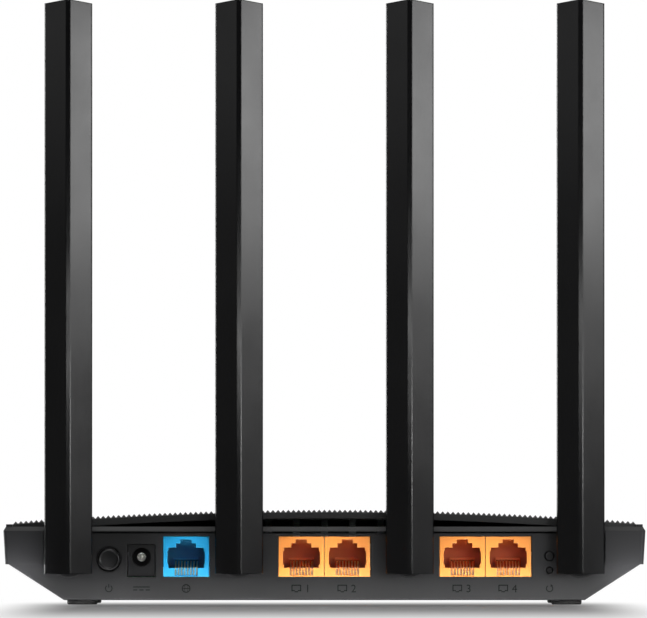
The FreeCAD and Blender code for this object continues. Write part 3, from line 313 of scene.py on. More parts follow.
GOLD = finish("contact_gold", (0.95, 0.80, 0.56), 0.40, grains=5000, depth=0.000002, metallic=1.0, dusty=0.0,
              edge=0.00008)
NICKEL = finish("nickel", (0.78, 0.77, 0.74), 0.20, grains=4000, depth=0.000002, metallic=1.0, dusty=0.0,
                edge=0.0001)
ZINC = finish("zinc_plate", (0.62, 0.62, 0.64), 0.32, grains=4200, depth=0.000004, metallic=1.0, dusty=0.05,
              edge=0.0001)
TIN = finish("tin_plate", (0.70, 0.70, 0.69), 0.36, grains=900, depth=0.000006, metallic=1.0, dusty=0.05)
ALUMINIUM = finish("aluminium", (0.78, 0.79, 0.80), 0.34, grains=1500, depth=0.000006, metallic=1.0)
COPPER = finish("copper", (0.86, 0.46, 0.30), 0.30, grains=3000, depth=0.000003, metallic=1.0, dusty=0.0)
CHIP = finish("chip_epoxy", (0.022, 0.022, 0.023), 0.55, grains=4000, depth=0.000008)
PAD = finish("thermal_pad", (0.36, 0.42, 0.50), 0.80, grains=1500, depth=0.00002)
LEAD = finish("lead_jacket", (0.030, 0.030, 0.032), 0.40, grains=2500, depth=0.000005)
PRINT = finish("moulded_mark", (0.003, 0.003, 0.0032), 0.55, grains=3000, depth=0.000004, worn=0.3, dusty=0.0,
               edge=0.00004, specular=0.12)
SMOKED = finish("smoked_window", (0.006, 0.006, 0.007), 0.12, grains=3000, depth=0.000001, coat=0.6, dusty=0.1)
KNUCKLE = finish("knuckle_plastic", (0.006, 0.006, 0.0065), 0.60, grains=2600, depth=0.00001, specular=0.25)
# The combs take darker copies of the socket plastics: painted shade, since they sit deep in the mouths.
COMB_BLUE_SHADED = finish("comb_blue_painted_shade", (0.002, 0.170, 0.360), 0.42, grains=2200, depth=0.000006, dusty=0.0, worn=0.2,
                   tint=0.06)
COMB_ORANGE_SHADED = finish("comb_orange_painted_shade", (0.620, 0.150, 0.030), 0.42, grains=2200, depth=0.000006, dusty=0.0, worn=0.2,
                     tint=0.05)
print("finishes:", len(bpy.data.materials))

# %% [markdown]
# The walls of a socket's mouth are thick and get light from one side only, so they lie in shade, and that shade is
# painted: a ramp along the depth of the socket darkens the colour of the walls towards a deeper tone of the same
# plastic. The outer face keeps its clean, bright colour.

# %% Painted shade inside the mouths
PAINTED_SHADE_FROM = 0.0006
PAINTED_SHADE_TO = 0.0045
# Painted shade: the socket colour darkens with depth into the mouth.
for material, painted_shade_colour in ((BLUE, (0.001, 0.170, 0.330)), (ORANGE, (0.560, 0.125, 0.018))):
    tree = material.node_tree
    base = tree.nodes["Principled BSDF"].inputs["Base Color"]
    outer = base.links[0].from_socket
    apart = tree.nodes.new("ShaderNodeSeparateXYZ")
    tree.links.new(tree.nodes["Texture Coordinate"].outputs["Object"], apart.inputs[0])
    painted_shade_share = range_node(tree, apart.outputs["Y"], PANEL_Y + PAINTED_SHADE_FROM, PANEL_Y + PAINTED_SHADE_TO, 0.0, 1.0)
    tree.links.new(mix_colours(tree, painted_shade_share, outer, painted_shade_colour), base)
print("mouths darkened")


# %% [markdown]
# The circuit board is a green lacquer over copper. Traces show as slightly lighter lines, which a stretched
# brick pattern stands for. The light guide and the lights are clear and milky plastic.

# %% Board, clear plastic
BOARD = finish("board_lacquer", (0.010, 0.105, 0.045), 0.30, grains=1200, depth=0.000006, coat=0.3, worn=0.1)
tree = BOARD.node_tree
shader = tree.nodes["Principled BSDF"]
traces = tree.nodes.new("ShaderNodeTexBrick")
traces.inputs["Scale"].default_value = 160.0
traces.inputs["Mortar Size"].default_value = 0.05
traces.inputs["Color1"].default_value = (0.0, 0.0, 0.0, 1.0)
traces.inputs["Color2"].default_value = (0.12, 0.12, 0.12, 1.0)
traces.inputs["Mortar"].default_value = (1.0, 1.0, 1.0, 1.0)
tree.links.new(tree.nodes["Texture Coordinate"].outputs["Object"], traces.inputs["Vector"])
base = shader.inputs["Base Color"].links[0].from_socket
tree.links.new(mix_colours(tree, traces.outputs["Color"], base, (0.03, 0.22, 0.09)), shader.inputs["Base Color"])

CLEAR = finish("milky_plastic", (0.82, 0.85, 0.86), 0.28, grains=1800, depth=0.000004, dusty=0.0)
CLEAR.node_tree.nodes["Principled BSDF"].inputs["Transmission Weight"].default_value = 0.5
print("board and clear plastic done")

# %% [markdown]
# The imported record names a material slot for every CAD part, so one table turns slots into finishes. The antennas'
# knuckles share a slot with the antennas, but they sit in their shade and have a duller skin of their own.

# %% Give each part its finish
FINISHES = {
    "case_plastic": CASE, "antenna_plastic": ANTENNA, "button_plastic": BUTTON, "blue_plastic": BLUE,
    "orange_plastic": ORANGE, "contact_gold": GOLD, "socket_black": SOCKET, "pin_metal": NICKEL, "steel": ZINC,
    "rubber_black": RUBBER, "board_green": BOARD, "chip_black": CHIP, "sink_aluminium": ALUMINIUM,
    "shield_steel": TIN, "pad_grey": PAD, "capacitor_sleeve": ALUMINIUM, "clear_plastic": CLEAR,
    "smoked_plastic": SMOKED, "copper": COPPER, "lead_jacket": LEAD,
}
for part in frame["record"]["subparts"]:
    node = NODES[part["node"]]
    node.data.materials.clear()
    node.data.materials.append(FINISHES[part["material_slot"]])
for number in "1234":
    NODES["antenna_%s_knuckle" % number].data.materials[0] = KNUCKLE

# %% [markdown]
# ## The lid
#
# The real lid is an arched shell, covered all over with small square pyramids that catch the light. Each could
# be modelled by hand, but a pyramid is what Blender's Poke makes: it sets a point over the middle of every
# face. So the lid starts as a fine grid, gets its slots, is thickened, and is poked on its upper side. Last it
# is bent to its arch by moving the points up by where they are across.

# %% Lid measurements
lid_low, lid_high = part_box("top_grille")
LID_HALF = lid_high.x
LID_ROUND = 1.340
UNDER_ROUND = 1.185
UNDER_CROWN = 0.02885
PYRAMID_HIGH = 0.00090
ACROSS = 121
PITCH = 2 * LID_HALF / ACROSS
ALONG = round((lid_high.y - lid_low.y) / PITCH)
PLAIN_ROWS = 10
SLOT_EVERY = 6
SLOT_ROWS = 27
SLOT_WIDE = 0.0012
SLOTS_REACH = 48  # columns on each side of the middle
PLATE = 0.003
DIP = 0.00085
DIP_FROM = 0.0025
DIP_ALONG = 0.020
WINDOW_GAP = 0.0002
print("pyramids: %d x %d, %.2f mm apart" % (ACROSS, ALONG - PLAIN_ROWS, PITCH * 1000))

# %% Grid and slots
bm = bmesh.new()
bmesh.ops.create_grid(bm, x_segments=ACROSS, y_segments=ALONG, size=0.5)
bmesh.ops.scale(bm, verts=bm.verts, vec=(2 * LID_HALF, lid_high.y - lid_low.y, 1))
moved(bm, bm.verts, 0, (lid_low.y + lid_high.y) / 2, 0)
cell_y = (lid_high.y - lid_low.y) / ALONG


def cell(face):
    """Column and row of a grid face, counted from the middle column and from the back row."""
    centre = face.calc_center_median()
    return round(centre.x / PITCH), int((centre.y - lid_low.y) / cell_y)


first_row = (ALONG - PLAIN_ROWS - SLOT_ROWS) // 2
slots = {}
for face in bm.faces:
    column, row = cell(face)
    in_reach = abs(column) < SLOTS_REACH and first_row <= row < first_row + SLOT_ROWS
    if in_reach and abs(column) % SLOT_EVERY == SLOT_EVERY // 2:
        slots.setdefault(column, []).append(face)
for faces in slots.values():
    bmesh.ops.inset_region(bm, faces=faces, thickness=(PITCH - SLOT_WIDE) / 2, use_even_offset=True)
bmesh.ops.delete(bm, geom=[f for faces in slots.values() for f in faces], context="FACES")
print("slots:", len(slots))

# %% Window opening
window_low, window_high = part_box("led_window")
opening = [
    f for f in bm.faces
    if window_low.x < f.calc_center_median().x < window_high.x
    and window_low.y - WINDOW_GAP < f.calc_center_median().y < window_high.y + WINDOW_GAP
]
bmesh.ops.delete(bm, geom=opening, context="FACES")
window_middle = (window_low.y + window_high.y) / 2
edges = [e for e in bm.edges if e.is_boundary]
for vert in {v for e in edges for v in e.verts}:
    inside_x = abs(vert.co.x) < window_high.x + PITCH
    if inside_x and window_low.y - PITCH < vert.co.y < window_high.y + PITCH:
        side_y = window_low.y - WINDOW_GAP if vert.co.y < window_middle else window_high.y + WINDOW_GAP
        if abs(vert.co.y - side_y) < PITCH:
            vert.co.y = side_y
        if abs(abs(vert.co.x) - window_high.x) < PITCH * 0.75:
            vert.co.x = math.copysign(window_high.x + WINDOW_GAP, vert.co.x)
print("faces removed for the window:", len(opening))

# %% Thickness, pyramids and arch
bmesh.ops.solidify(bm, geom=bm.faces[:], thickness=-PLATE)
bmesh.ops.recalc_face_normals(bm, faces=bm.faces)
top = max(v.co.z for v in bm.verts)
bottom = min(v.co.z for v in bm.verts)
full = PITCH * cell_y * 0.98
textured = [
    f for f in bm.faces
    if f.normal.z > 0.9 and f.calc_center_median().z > (top + bottom) / 2
    and f.calc_area() > full and cell(f)[1] < ALONG - PLAIN_ROWS
]
poked = bmesh.ops.poke(bm, faces=textured, offset=PYRAMID_HIGH, center_mode="MEAN", use_relative_offset=False)


def arch(x, crown, radius):
    return crown - x * x / (2 * radius)


def dip(y):
    """How far the lid's top lies below its back edge: the lid falls away a little towards the front."""
    share = min(max((y - lid_low.y - DIP_FROM) / DIP_ALONG, 0.0), 1.0)
    return DIP * share * share * (3 - 2 * share)


for vert in bm.verts:
    level = (vert.co.z - bottom) / (top - bottom)
    low = max(arch(vert.co.x, UNDER_CROWN, UNDER_ROUND), lid_low.z)
    high = arch(vert.co.x, lid_high.z - PYRAMID_HIGH, LID_ROUND) - dip(vert.co.y)
    above = vert.co.z - top if level > 1 else 0.0
    vert.co.z = low + (high - low) * min(level, 1.0) + above
print("pyramids made:", len(poked["verts"]))

# %% [markdown]
# The lid is held by four screw posts, which hang from its underside. They are short tubes, so each is a circle
# that is extruded and given a wall.

# %% Screw posts under the lid
POST_X = 0.083
POST_BACK = 0.024
POST_FRONT = 0.088
POST_HOLE = 0.00225
POST_WALL = 0.0015
POST_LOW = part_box("case_screws")[0].z + 0.0072
SUNK = 0.0005  # how far a post reaches into the lid
for x in (-POST_X, POST_X):
    for y in (PANEL_Y + POST_BACK, PANEL_Y + POST_FRONT):
        made = bmesh.ops.create_circle(bm, cap_ends=False, radius=POST_HOLE, segments=24)["verts"]
        moved(bm, made, x, y, POST_LOW)
        ring = [e for e in bm.edges if e.verts[0] in made and e.verts[1] in made]
        up = bmesh.ops.extrude_edge_only(bm, edges=ring)["geom"]
        tall = arch(x, UNDER_CROWN, UNDER_ROUND) - POST_LOW + SUNK
        moved(bm, [g for g in up if isinstance(g, bmesh.types.BMVert)], 0, 0, tall)
        wall = [g for g in up if isinstance(g, bmesh.types.BMFace)]
        bmesh.ops.recalc_face_normals(bm, faces=wall)
        bmesh.ops.solidify(bm, geom=wall, thickness=POST_WALL)
lid = finish_piece(bm, "textured_lid", "case", LID)
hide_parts("top_grille")

# %% [markdown]
# In front of the lid the belt has an arched rail. On the real object it lies lower than the pyramids, so their
# row of small teeth shows against the light. The CAD belt is copied, its loose triangles are merged, and the
# rail's upper points are let down a little. Only edges that bend by less than six degrees are shaded smooth, so
# the arches look round and the wide walls stay flat.

# %% Belt with a lower front rail
RAIL_FALL = 0.00105
RAIL_FOOT = 0.0269  # points below this height stay
RAIL_FADE = 0.0018  # over this height the fall grows to its full measure
bm = bmesh.new()
bm.from_mesh(NODES["upper_frame"].data)
bmesh.ops.remove_doubles(bm, verts=bm.verts, dist=1e-6)
crest = [v for v in bm.verts if v.co.y > lid_high.y + 0.0001 and v.co.z > RAIL_FOOT]
for vert in crest:
    vert.co.z -= RAIL_FALL * min((vert.co.z - RAIL_FOOT) / RAIL_FADE, 1.0)
belt = finish_piece(bm, "belt_and_rail", "case", CASE, smooth_angle=6)
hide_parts("upper_frame")
print("rail points let down:", len(crest))

# %% [markdown]
# A smoked pane closes the lid's opening over the status lights. It follows the arch, so it starts as a strip of
# twelve faces, is bent by the same formula as the lid, and is drawn down to the CAD pane's underside.

# %% Window over the status lights
PANE_PROUD = 0.00012
bm = bmesh.new()
pane = bmesh.ops.create_grid(bm, x_segments=12, y_segments=1, size=0.5)["verts"]
bmesh.ops.scale(bm, verts=pane, vec=(window_high.x - window_low.x, window_high.y - window_low.y, 1))
moved(bm, pane, 0, window_middle, 0)
for vert in bm.verts:
    vert.co.z = arch(vert.co.x, lid_high.z - PYRAMID_HIGH - DIP + PANE_PROUD, LID_ROUND)
up = bmesh.ops.extrude_face_region(bm, geom=bm.faces[:])["geom"]
for vert in [g for g in up if isinstance(g, bmesh.types.BMVert)]:
    vert.co.z = window_low.z
bmesh.ops.recalc_face_normals(bm, faces=bm.faces)
upper_edges = [
    e for e in bm.edges
    if e.calc_face_angle(0) > 1.0 and min(v.co.z for v in e.verts) > window_low.z + 0.0005
]
softened(bm, upper_edges, 0.00018, 3)
window = finish_piece(bm, "smoked_window", "case", SMOKED)
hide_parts("led_window")


# %% [markdown]
# ## Inside the network sockets
#
# A real socket of this kind has a moulded insert behind its springs: a ledge at the back of the mouth, and under
# it a comb whose slots keep the eight springs apart. Seen from outside it gives each socket its row of fine
# upright lines. A comb is a row of equal ribs, so one rib is made, and the others are copies of it a pitch apart.

# %% Comb and ledge
CONTACT_PITCH = 0.00102
RIB_WIDE = 0.00044
RIBS = 9
LEDGE_HALF = 0.0042


def rounded_block(block_bm, low, high, width):
    """A block between two corners with softened edges."""
    made = bmesh.ops.create_cube(block_bm, size=1)["verts"]
    bmesh.ops.scale(block_bm, verts=made, vec=Vector(high) - Vector(low))
    moved(block_bm, made, *((Vector(high) + Vector(low)) / 2))
    softened(block_bm, list({e for v in made for e in v.link_edges}), width, 2)


def socket_insert(socket, material):
    """The comb and the ledge at the back of one socket's mouth."""
    low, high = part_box(socket)
    x, face, floor_z = (low.x + high.x) / 2, low.y, low.z
    comb = bmesh.new()
    rounded_block(comb, (x - LEDGE_HALF, face + 0.0109, floor_z + 0.0055),
                  (x + LEDGE_HALF, face + 0.0128, floor_z + 0.0064), 0.00012)
    for i in range(RIBS):
        middle = x + CONTACT_PITCH * (i - RIBS // 2)
        rounded_block(comb, (middle - RIB_WIDE / 2, face + 0.0112, floor_z + 0.0030),
                      (middle + RIB_WIDE / 2, face + 0.0129, floor_z + 0.0056), 0.00006)
    insert = finish_piece(comb, socket + "_insert", "case", material)


# Each comb gets the darker copy of its socket's plastic, which paints the shade deep in the mouth.
socket_insert("wan_jack", COMB_BLUE_SHADED)
for number in "1234":
    socket_insert("lan_jack_" + number, COMB_ORANGE_SHADED)

# %% [markdown]
# ## Turned pieces: power button and socket pin
#
# The power button and the pin of the power socket are round, so each is the outline of one side spun round its
# axis. The cap has a flat face and a rounded rim, which takes a crescent of light. The pin is a tube with a domed
# tip inside it.

# %% Spinning an outline
def turned_piece(name, body, material, outline, centre, steps=64):
    """Spins (radius, depth) points round an axis along Y that goes through centre."""
    ring = bmesh.new()
    points = [ring.verts.new((centre.x + r, centre.y + y, centre.z)) for r, y in outline]
    lines = [ring.edges.new(pair) for pair in zip(points, points[1:])]
    bmesh.ops.spin(ring, geom=points + lines, cent=centre, axis=(0, 1, 0), dvec=(0, 0, 0),
                   angle=2 * math.pi, steps=steps, use_merge=True)
    bmesh.ops.remove_doubles(ring, verts=ring.verts, dist=1e-6)
    bmesh.ops.recalc_face_normals(ring, faces=ring.faces)
    return finish_piece(ring, name, body, material, smooth_angle=35)


# %% Power button
low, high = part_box("power_button")
centre = Vector(((low.x + high.x) / 2, low.y, (low.z + high.z) / 2))
flange = (high.x - low.x) / 2
cap = 0.00372
behind = PANEL_Y + 0.0020 - low.y
outline = [
    (0, 0.00036), (0.0026, 0.00036), (0.0028, 0.00032), (0.0029, 0.00022), (0.00300, 0.00010), (0.00312, 0.00004),
    (0.00326, 0.00006), (0.00342, 0.00016), (0.00356, 0.00032), (0.00366, 0.00054), (cap, 0.00085),
    (cap, behind + 0.0003), (flange, behind + 0.0003),
    (flange, behind + 0.0010), (0.0016, behind + 0.0010), (0.0016, high.y - low.y), (0, high.y - low.y)]
power_cap = turned_piece("power_cap", "power_push", BUTTON, outline, centre)
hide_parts("power_button")

# %% Pin of the power socket
low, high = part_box("power_jack_pin")
centre = Vector(((low.x + high.x) / 2, low.y, (low.z + high.z) / 2))
foot = (high.x - low.x) / 2
deep = high.y - low.y
outline = [
    (0, 0.00045), (0.00035, 0.00050), (0.00058, 0.00070), (0.00064, 0.00100), (0.00064, 0.0030), (0.00112, 0.0030),
    (0.00112, 0.00030), (0.00120, 0.00014), (0.00134, 0.00006), (0.00148, 0.00016), (0.00152, 0.00040),
    (0.00152, deep - 0.0012), (foot, deep - 0.0012), (foot, deep), (0, deep)]
pin = turned_piece("power_pin_tube", "case", NICKEL, outline, centre, steps=48)
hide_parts("power_jack_pin")

# %% [markdown]
# ## Marks under the ports
#
# Small marks are moulded into the panel under the sockets: a power sign, a direct-current sign, a globe for
# the outside network, and the digits 1 to 4. They stand only a tenth of a millimetre proud, and are a shade
# darker and duller than the panel. Rings come from a spun edge, bars from a grid and digits from Blender's text;
# each flat shape is then thickened and set upright on the panel.

# %% Making a mark
MARK_HIGH = 0.00012
MARK_Z = 0.0054


def set_on_panel(piece_bm, x, z):
    """Turns a flat shape upright, face outwards, and sets it on the port panel."""
    turned(piece_bm, piece_bm.verts, 90, "X")
    moved(piece_bm, piece_bm.verts, x, PANEL_Y, z)


def stroke_ring(piece_bm, radius, wide, gap_degrees=0.0, squeeze=1.0, steps=40):
    """A flat ring, or an arc with a gap at its top, made by spinning a short edge."""
    inner = piece_bm.verts.new((0, radius - wide / 2, 0))
    outer = piece_bm.verts.new((0, radius + wide / 2, 0))
    edge = piece_bm.edges.new((inner, outer))
    turned(piece_bm, [inner, outer], gap_degrees / 2, "Z")
    sweep = math.radians(360 - gap_degrees)
    bmesh.ops.spin(
        piece_bm, geom=[inner, outer, edge], cent=(0, 0, 0), axis=(0, 0, 1), angle=sweep, steps=steps,
        use_merge=gap_degrees == 0, dvec=(0, 0, 0))
    near = [v for v in piece_bm.verts if (v.co.length > radius - wide) and (v.co.length < radius + wide)]
    bmesh.ops.scale(piece_bm, verts=near, vec=(squeeze, 1, 1))


def stroke_bar(piece_bm, x, y, wide, high):
    made = bmesh.ops.create_grid(piece_bm, x_segments=1, y_segments=1, size=0.5)["verts"]
    bmesh.ops.scale(piece_bm, verts=made, vec=(wide, high, 1))
    moved(piece_bm, made, x, y, 0)


def finish_mark(piece_bm, name, x, z=MARK_Z):
    """Thickens a flat mark, sets it on the panel, and makes it a piece."""
    bmesh.ops.remove_doubles(piece_bm, verts=piece_bm.verts, dist=1e-6)
    bmesh.ops.recalc_face_normals(piece_bm, faces=piece_bm.faces)
    for face in piece_bm.faces:
        if face.normal.z < 0:
            face.normal_flip()
    raised = bmesh.ops.extrude_face_region(piece_bm, geom=piece_bm.faces[:])["geom"]
    moved(piece_bm, [g for g in raised if isinstance(g, bmesh.types.BMVert)], 0, 0, MARK_HIGH)
    bmesh.ops.recalc_face_normals(piece_bm, faces=piece_bm.faces)
    set_on_panel(piece_bm, x, z)
    piece = finish_piece(piece_bm, name, "case", PRINT)


def middle_x(node):
    low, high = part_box(node)
    return (low.x + high.x) / 2


# %% Power sign, direct-current sign and globe
LINE = 0.00034
GLOBE_RADIUS = 0.0013
bm = bmesh.new()
stroke_ring(bm, 0.0011, LINE, gap_degrees=70)
stroke_bar(bm, 0, 0.0009, LINE, 0.0012)
finish_mark(bm, "mark_power", middle_x("power_button"))

bm = bmesh.new()
stroke_bar(bm, 0, 0.0005, 0.0056, LINE)
for offset in (-0.0021, 0.0, 0.0021):
    stroke_bar(bm, offset, -0.0005, 0.0014, LINE)
finish_mark(bm, "mark_direct_current", middle_x("power_jack"))

bm = bmesh.new()
stroke_ring(bm, GLOBE_RADIUS, LINE)
finish_mark(bm, "mark_globe_rim", middle_x("wan_jack"))
bm = bmesh.new()
stroke_ring(bm, GLOBE_RADIUS, LINE * 0.8, squeeze=0.45)
finish_mark(bm, "mark_globe_meridian", middle_x("wan_jack"))
bm = bmesh.new()
stroke_bar(bm, 0, 0, 0.0025, LINE * 0.8)
finish_mark(bm, "mark_globe_equator", middle_x("wan_jack"))


# %% Digits
def digit(text, x, high=0.0026):
    """A socket sign and one digit from Blender's own font, as a mesh, set on the panel."""
    curve = bpy.data.curves.new("digit", "FONT")
    curve.body = text
    curve.size = high / 0.7
    curve.align_x = "CENTER"
    curve.resolution_u = 3
    holder = bpy.data.objects.new("digit", curve)
    bpy.context.collection.objects.link(holder)
    flat = bpy.data.meshes.new_from_object(holder)
    bpy.data.objects.remove(holder)
    digit_bm = bmesh.new()
    digit_bm.from_mesh(flat)
    bpy.data.meshes.remove(flat)
    middle = (max(v.co.y for v in digit_bm.verts) + min(v.co.y for v in digit_bm.verts)) / 2
    moved(digit_bm, digit_bm.verts, 0.0021, -middle, 0)
    for bar in ((-0.0017, 0.0011, 0.0032, LINE), (-0.0017, -0.0011, 0.0012, LINE), (-0.00315, 0.0, LINE, 0.0019),
                (-0.00025, 0.0, LINE, 0.0019), (-0.0026, -0.0007, 0.0008, LINE), (-0.0008, -0.0007, 0.0008, LINE)):
        stroke_bar(digit_bm, *bar)
    finish_mark(digit_bm, "mark_lan_" + text, x)


for number in "1234":
    digit(number, middle_x("lan_jack_" + number))

# %% Mark for the reset button
bm = bmesh.new()
stroke_ring(bm, 0.00105, LINE, gap_degrees=60)
tip = bmesh.ops.create_circle(bm, cap_ends=True, radius=0.00055, segments=3)["verts"]
turned(bm, tip, 20, "Z")
moved(bm, tip, 0.00062, 0.00098, 0)
finish_mark(bm, "mark_reset", middle_x("reset_button"))

# %% [markdown]
# ## Studio
#
# A pale floor runs under the object, and the background is plain white. Dark plastic shows what it reflects more
# than its own colour, so the lights are placed for their reflections. To the camera the floor fades into the
# white background round a painted pool of shade, which is strongest at low glancing angles; that fade is for
# camera rays only. Two faint painted glows on the floor stand for light that a white table throws back. One lies
# in front of the object, where its front mirrors it. The other lies under the case, lights its underside and is
# hidden from the camera. The floor is clear from below, so that the underside can be looked at.

# %% Floor
# Where the painted pool of shade fades, how deep it gets, and how bright the painted glows are.
POOL_SIDES = (0.078, 0.113)  # each pair says where a fade starts and ends
POOL_NEAR = (0.24, 0.95)
POOL_FAR = (-0.14, 0.16)
LOW_GLANCE = (0.74, 0.97)
LEAST_SHADE = 0.28
FRONT_GLOW = 0.45
UNDER_GLOW = 0.35
CASE_MIDDLE = 0.012
bm = bmesh.new()
bmesh.ops.create_circle(bm, cap_ends=True, radius=6.0, segments=96)
mesh = bpy.data.meshes.new("floor")
bm.to_mesh(mesh)
bm.free()
floor = bpy.data.objects.new("floor", mesh)
bpy.context.collection.objects.link(floor)
SHADED_PAPER = bpy.data.materials.new("paper_with_painted_pool")
SHADED_PAPER.use_nodes = True
tree = SHADED_PAPER.node_tree
shader = tree.nodes["Principled BSDF"]
shader.inputs["Roughness"].default_value = 0.8
shader.inputs["Specular IOR Level"].default_value = 0.1
place = tree.nodes.new("ShaderNodeTexCoord").outputs["Object"]
cloudy = noise_node(tree, place, 3.0, detail=3.0)
tree.links.new(mix_colours(tree, cloudy, (0.115, 0.115, 0.115), (0.130, 0.130, 0.130)), shader.inputs["Base Color"])
apart = tree.nodes.new("ShaderNodeSeparateXYZ")
tree.links.new(place, apart.inputs[0])


def gentle_range(value, start, end):
    """0 at start, 1 at end, with a soft foot and shoulder."""
    node = tree.nodes.new("ShaderNodeMapRange")
    node.interpolation_type = "SMOOTHSTEP"
    node.inputs["From Min"].default_value = start
    node.inputs["From Max"].default_value = end
    tree.links.new(value, node.inputs["Value"])
    return node.outputs["Result"]


# Painted shadow: inside this pool the camera sees the floor's dark lit colour, outside it white; low glancing views
# deepen it.
beside = math_node(tree, "ABSOLUTE", apart.outputs["X"])
nearer = math_node(tree, "MULTIPLY", apart.outputs["Y"], -1.0)
shade = math_node(tree, "SUBTRACT", 1.0, gentle_range(beside, *POOL_SIDES))
for fade in (gentle_range(nearer, *POOL_NEAR), gentle_range(apart.outputs["Y"], *POOL_FAR)):
    shade = math_node(tree, "MULTIPLY", shade, math_node(tree, "SUBTRACT", 1.0, fade))
glance = tree.nodes.new("ShaderNodeLayerWeight").outputs["Facing"]
low_glance = math_node(tree, "MULTIPLY_ADD", gentle_range(glance, *LOW_GLANCE), 1 - LEAST_SHADE)
low_glance.node.inputs[2].default_value = LEAST_SHADE
shade = math_node(tree, "MULTIPLY", shade, low_glance)
white_share = math_node(tree, "SUBTRACT", 1.0, shade, clamp=True)
# Painted glows: the floor emits a little light in front of the case for all rays, and under it for all but camera
# rays.
in_front = math_node(tree, "SUBTRACT", apart.outputs["Y"], math_node(tree, "MULTIPLY", beside, 0.75))
front_glow = math_node(tree, "MULTIPLY", gentle_range(in_front, 0.15, 0.45), FRONT_GLOW)
off_middle = math_node(tree, "ABSOLUTE", math_node(tree, "SUBTRACT", apart.outputs["Y"], CASE_MIDDLE))
under_glow = math_node(tree, "MULTIPLY", gentle_range(beside, 0.095, 0.075), gentle_range(off_middle, 0.058, 0.045))
under_glow = math_node(tree, "MULTIPLY", under_glow, UNDER_GLOW)
seen = tree.nodes.new("ShaderNodeLightPath")
paper_white = tree.nodes.new("ShaderNodeEmission")
paper_white.inputs["Strength"].default_value = 1.0
blend = tree.nodes.new("ShaderNodeMixShader")
for_camera = math_node(tree, "MULTIPLY", white_share, seen.outputs["Is Camera Ray"])
not_camera = math_node(tree, "SUBTRACT", 1.0, seen.outputs["Is Camera Ray"])
for_object = math_node(tree, "MAXIMUM", front_glow, math_node(tree, "MULTIPLY", under_glow, not_camera))
tree.links.new(math_node(tree, "MAXIMUM", for_camera, for_object, clamp=True), blend.inputs[0])
tree.links.new(shader.outputs[0], blend.inputs[1])
tree.links.new(paper_white.outputs[0], blend.inputs[2])
from_below = tree.nodes.new("ShaderNodeMixShader")
tree.links.new(tree.nodes.new("ShaderNodeNewGeometry").outputs["Backfacing"], from_below.inputs[0])
tree.links.new(blend.outputs[0], from_below.inputs[1])
tree.links.new(tree.nodes.new("ShaderNodeBsdfTransparent").outputs[0], from_below.inputs[2])
tree.links.new(from_below.outputs[0], tree.nodes["Material Output"].inputs["Surface"])
mesh.materials.append(SHADED_PAPER)
print("floor radius 6 m")


# %% [markdown]
# The lights hide from the camera, so they may stand in its line of sight. A box on the right makes the
# right-hand faces of the antennas bright at the top, and a weaker one on the left lifts the other faces a
# little. Small strips in front of the antennas put a streak on each ridge. Low lamps on the floor, aimed at the
# panel and kept out of mirror images, light the ports from below, so their faces shine and their mouths stay
# deep. Wide boxes overhead and at the front serve the other sides.

# %% Lights
ANTENNA_Y = -0.06


def soft_box(name, place, target, wide, high, power):
    light = bpy.data.lights.new(name, "AREA")
    light.shape = "RECTANGLE"
    light.size = wide
    light.size_y = high
    light.energy = power
    holder = bpy.data.objects.new(name, light)
    holder.location = place
    holder.rotation_euler = (Vector(target) - Vector(place)).to_track_quat("-Z", "Y").to_euler()
    holder.visible_camera = False
    bpy.context.collection.objects.link(holder)
    return holder


def standing_box(name, azimuth, away, low, high, wide, power, aside=0.0):
    """A box on edge, away from the antennas at an angle to the line of sight, between two heights."""
    angle = math.radians(azimuth)
    middle = (low + high) / 2
    place = (math.sin(angle) * away + aside, -math.cos(angle) * away + ANTENNA_Y, middle)
    soft_box(name, place, (aside, ANTENNA_Y, middle), wide, high - low, power)


soft_box("overhead", (0, 0.1, 2.2), (0, 0, 0), 3.2, 3.2, 32)
soft_box("far_side", (0, 2.0, 0.9), (0, 0, 0.08), 2.4, 1.4, 30)
soft_box("front_left", (-1.25, 1.35, 0.75), (0, 0, 0.05), 0.9, 1.2, 16)
soft_box("front_right", (1.25, 1.35, 0.75), (0, 0, 0.05), 0.9, 1.2, 16)
soft_box("top_strip", (0, -0.62, 0.75), (0, -0.05, 0.03), 0.5, 0.25, 1.6)
standing_box("left_edge", -120, 1.0, 0.0, 0.35, 0.4, 4.0)
standing_box("right_box", 64.8, 1.1, 0.14, 0.264, 0.6, 1.5)
standing_box("right_low", 64.8, 1.1, 0.03, 0.15, 0.6, 0.14)
standing_box("left_box", -64.8, 1.1, 0.19, 0.37, 0.6, 0.165)
standing_box("left_low", -64.8, 1.1, 0.03, 0.19, 0.6, 0.030)
standing_box("port_box", 32.4, 0.6, 0.04, 0.08, 0.22, 0.70)
standing_box("edge_strip", 24, 0.6, 0.08, 0.16, 0.04, 0.10)
for i, x in enumerate((-0.0952, -0.0317, 0.0317, 0.0952), start=1):
    standing_box("ridge_strip_%d" % i, 0, 0.5, 0.078, 0.112, 0.022, 0.020, aside=x)
soft_box("floor_lamp_near", (0, -0.05495, 0.0006), (0, -0.05495, 1), 0.235, 0.0055, 0.010)

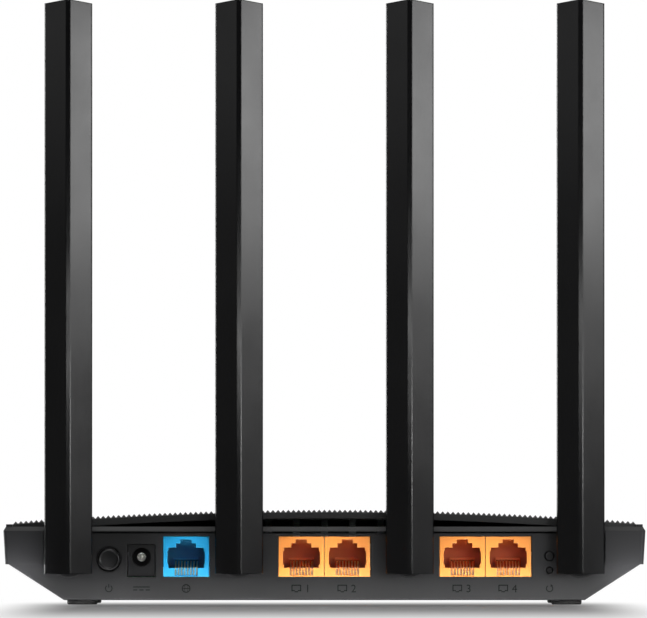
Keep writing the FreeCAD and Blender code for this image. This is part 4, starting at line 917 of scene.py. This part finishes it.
# %% [markdown]
# The low lamps stand a centimetre before the panel, each with its own width, aim and cone. One serves the whole
# panel, two the blank blocks at its ends, and three the groups of network sockets.

# %% Low lamps before the panel
LAMP_Y = -0.0640
LAMP_Z = 0.0022
LAMP_DEEP = 0.004
FACE_Y = -0.0515


def keep_low(lamp, spread):
    """Narrows a lamp's cone, in degrees, and keeps it out of mirror images."""
    lamp.data.spread = math.radians(spread)
    lamp.visible_glossy = False


for name, x, aim_z, wide, power, spread in (
    ("panel_lamp", 0, 0.0048, 0.235, 0.025, 80),
    ("end_lamp_left", -0.1035, 0.0160, 0.014, 0.0062, 100),
    ("end_lamp_right", 0.1035, 0.0160, 0.014, 0.0062, 100),
    ("wan_lamp", -0.0463, 0.0215, 0.017, 0.0017, 64),
    ("lan_lamp_left", 0.0, 0.0215, 0.032, 0.0027, 64),
    ("lan_lamp_right", 0.0539, 0.0215, 0.032, 0.0027, 64),
):
    keep_low(soft_box(name, (x, LAMP_Y, LAMP_Z), (x, FACE_Y, aim_z), wide, LAMP_DEEP, power), spread)
keep_low(soft_box("floor_lamp_far", (0, -0.098, 0.0006), (0, -0.098, 1), 0.26, 0.05, 0.008), 180)

# %% [markdown]
# The world is white behind the object and almost black for everything else, so that only the lights and the floor
# show in the plastic.

# %% World
world = bpy.data.worlds.new("studio")
bpy.context.scene.world = world
world.use_nodes = True
tree = world.node_tree
tree.nodes.clear()
room = tree.nodes.new("ShaderNodeBackground")
room.inputs["Color"].default_value = (0.02, 0.02, 0.02, 1.0)
backdrop = tree.nodes.new("ShaderNodeBackground")
backdrop.inputs["Color"].default_value = (1.0, 1.0, 1.0, 1.0)
seen = tree.nodes.new("ShaderNodeLightPath")
choose = tree.nodes.new("ShaderNodeMixShader")
out = tree.nodes.new("ShaderNodeOutputWorld")
tree.links.new(seen.outputs["Is Camera Ray"], choose.inputs[0])
tree.links.new(room.outputs[0], choose.inputs[1])
tree.links.new(backdrop.outputs[0], choose.inputs[2])
tree.links.new(choose.outputs[0], out.inputs["Surface"])
print("world:", world.name)
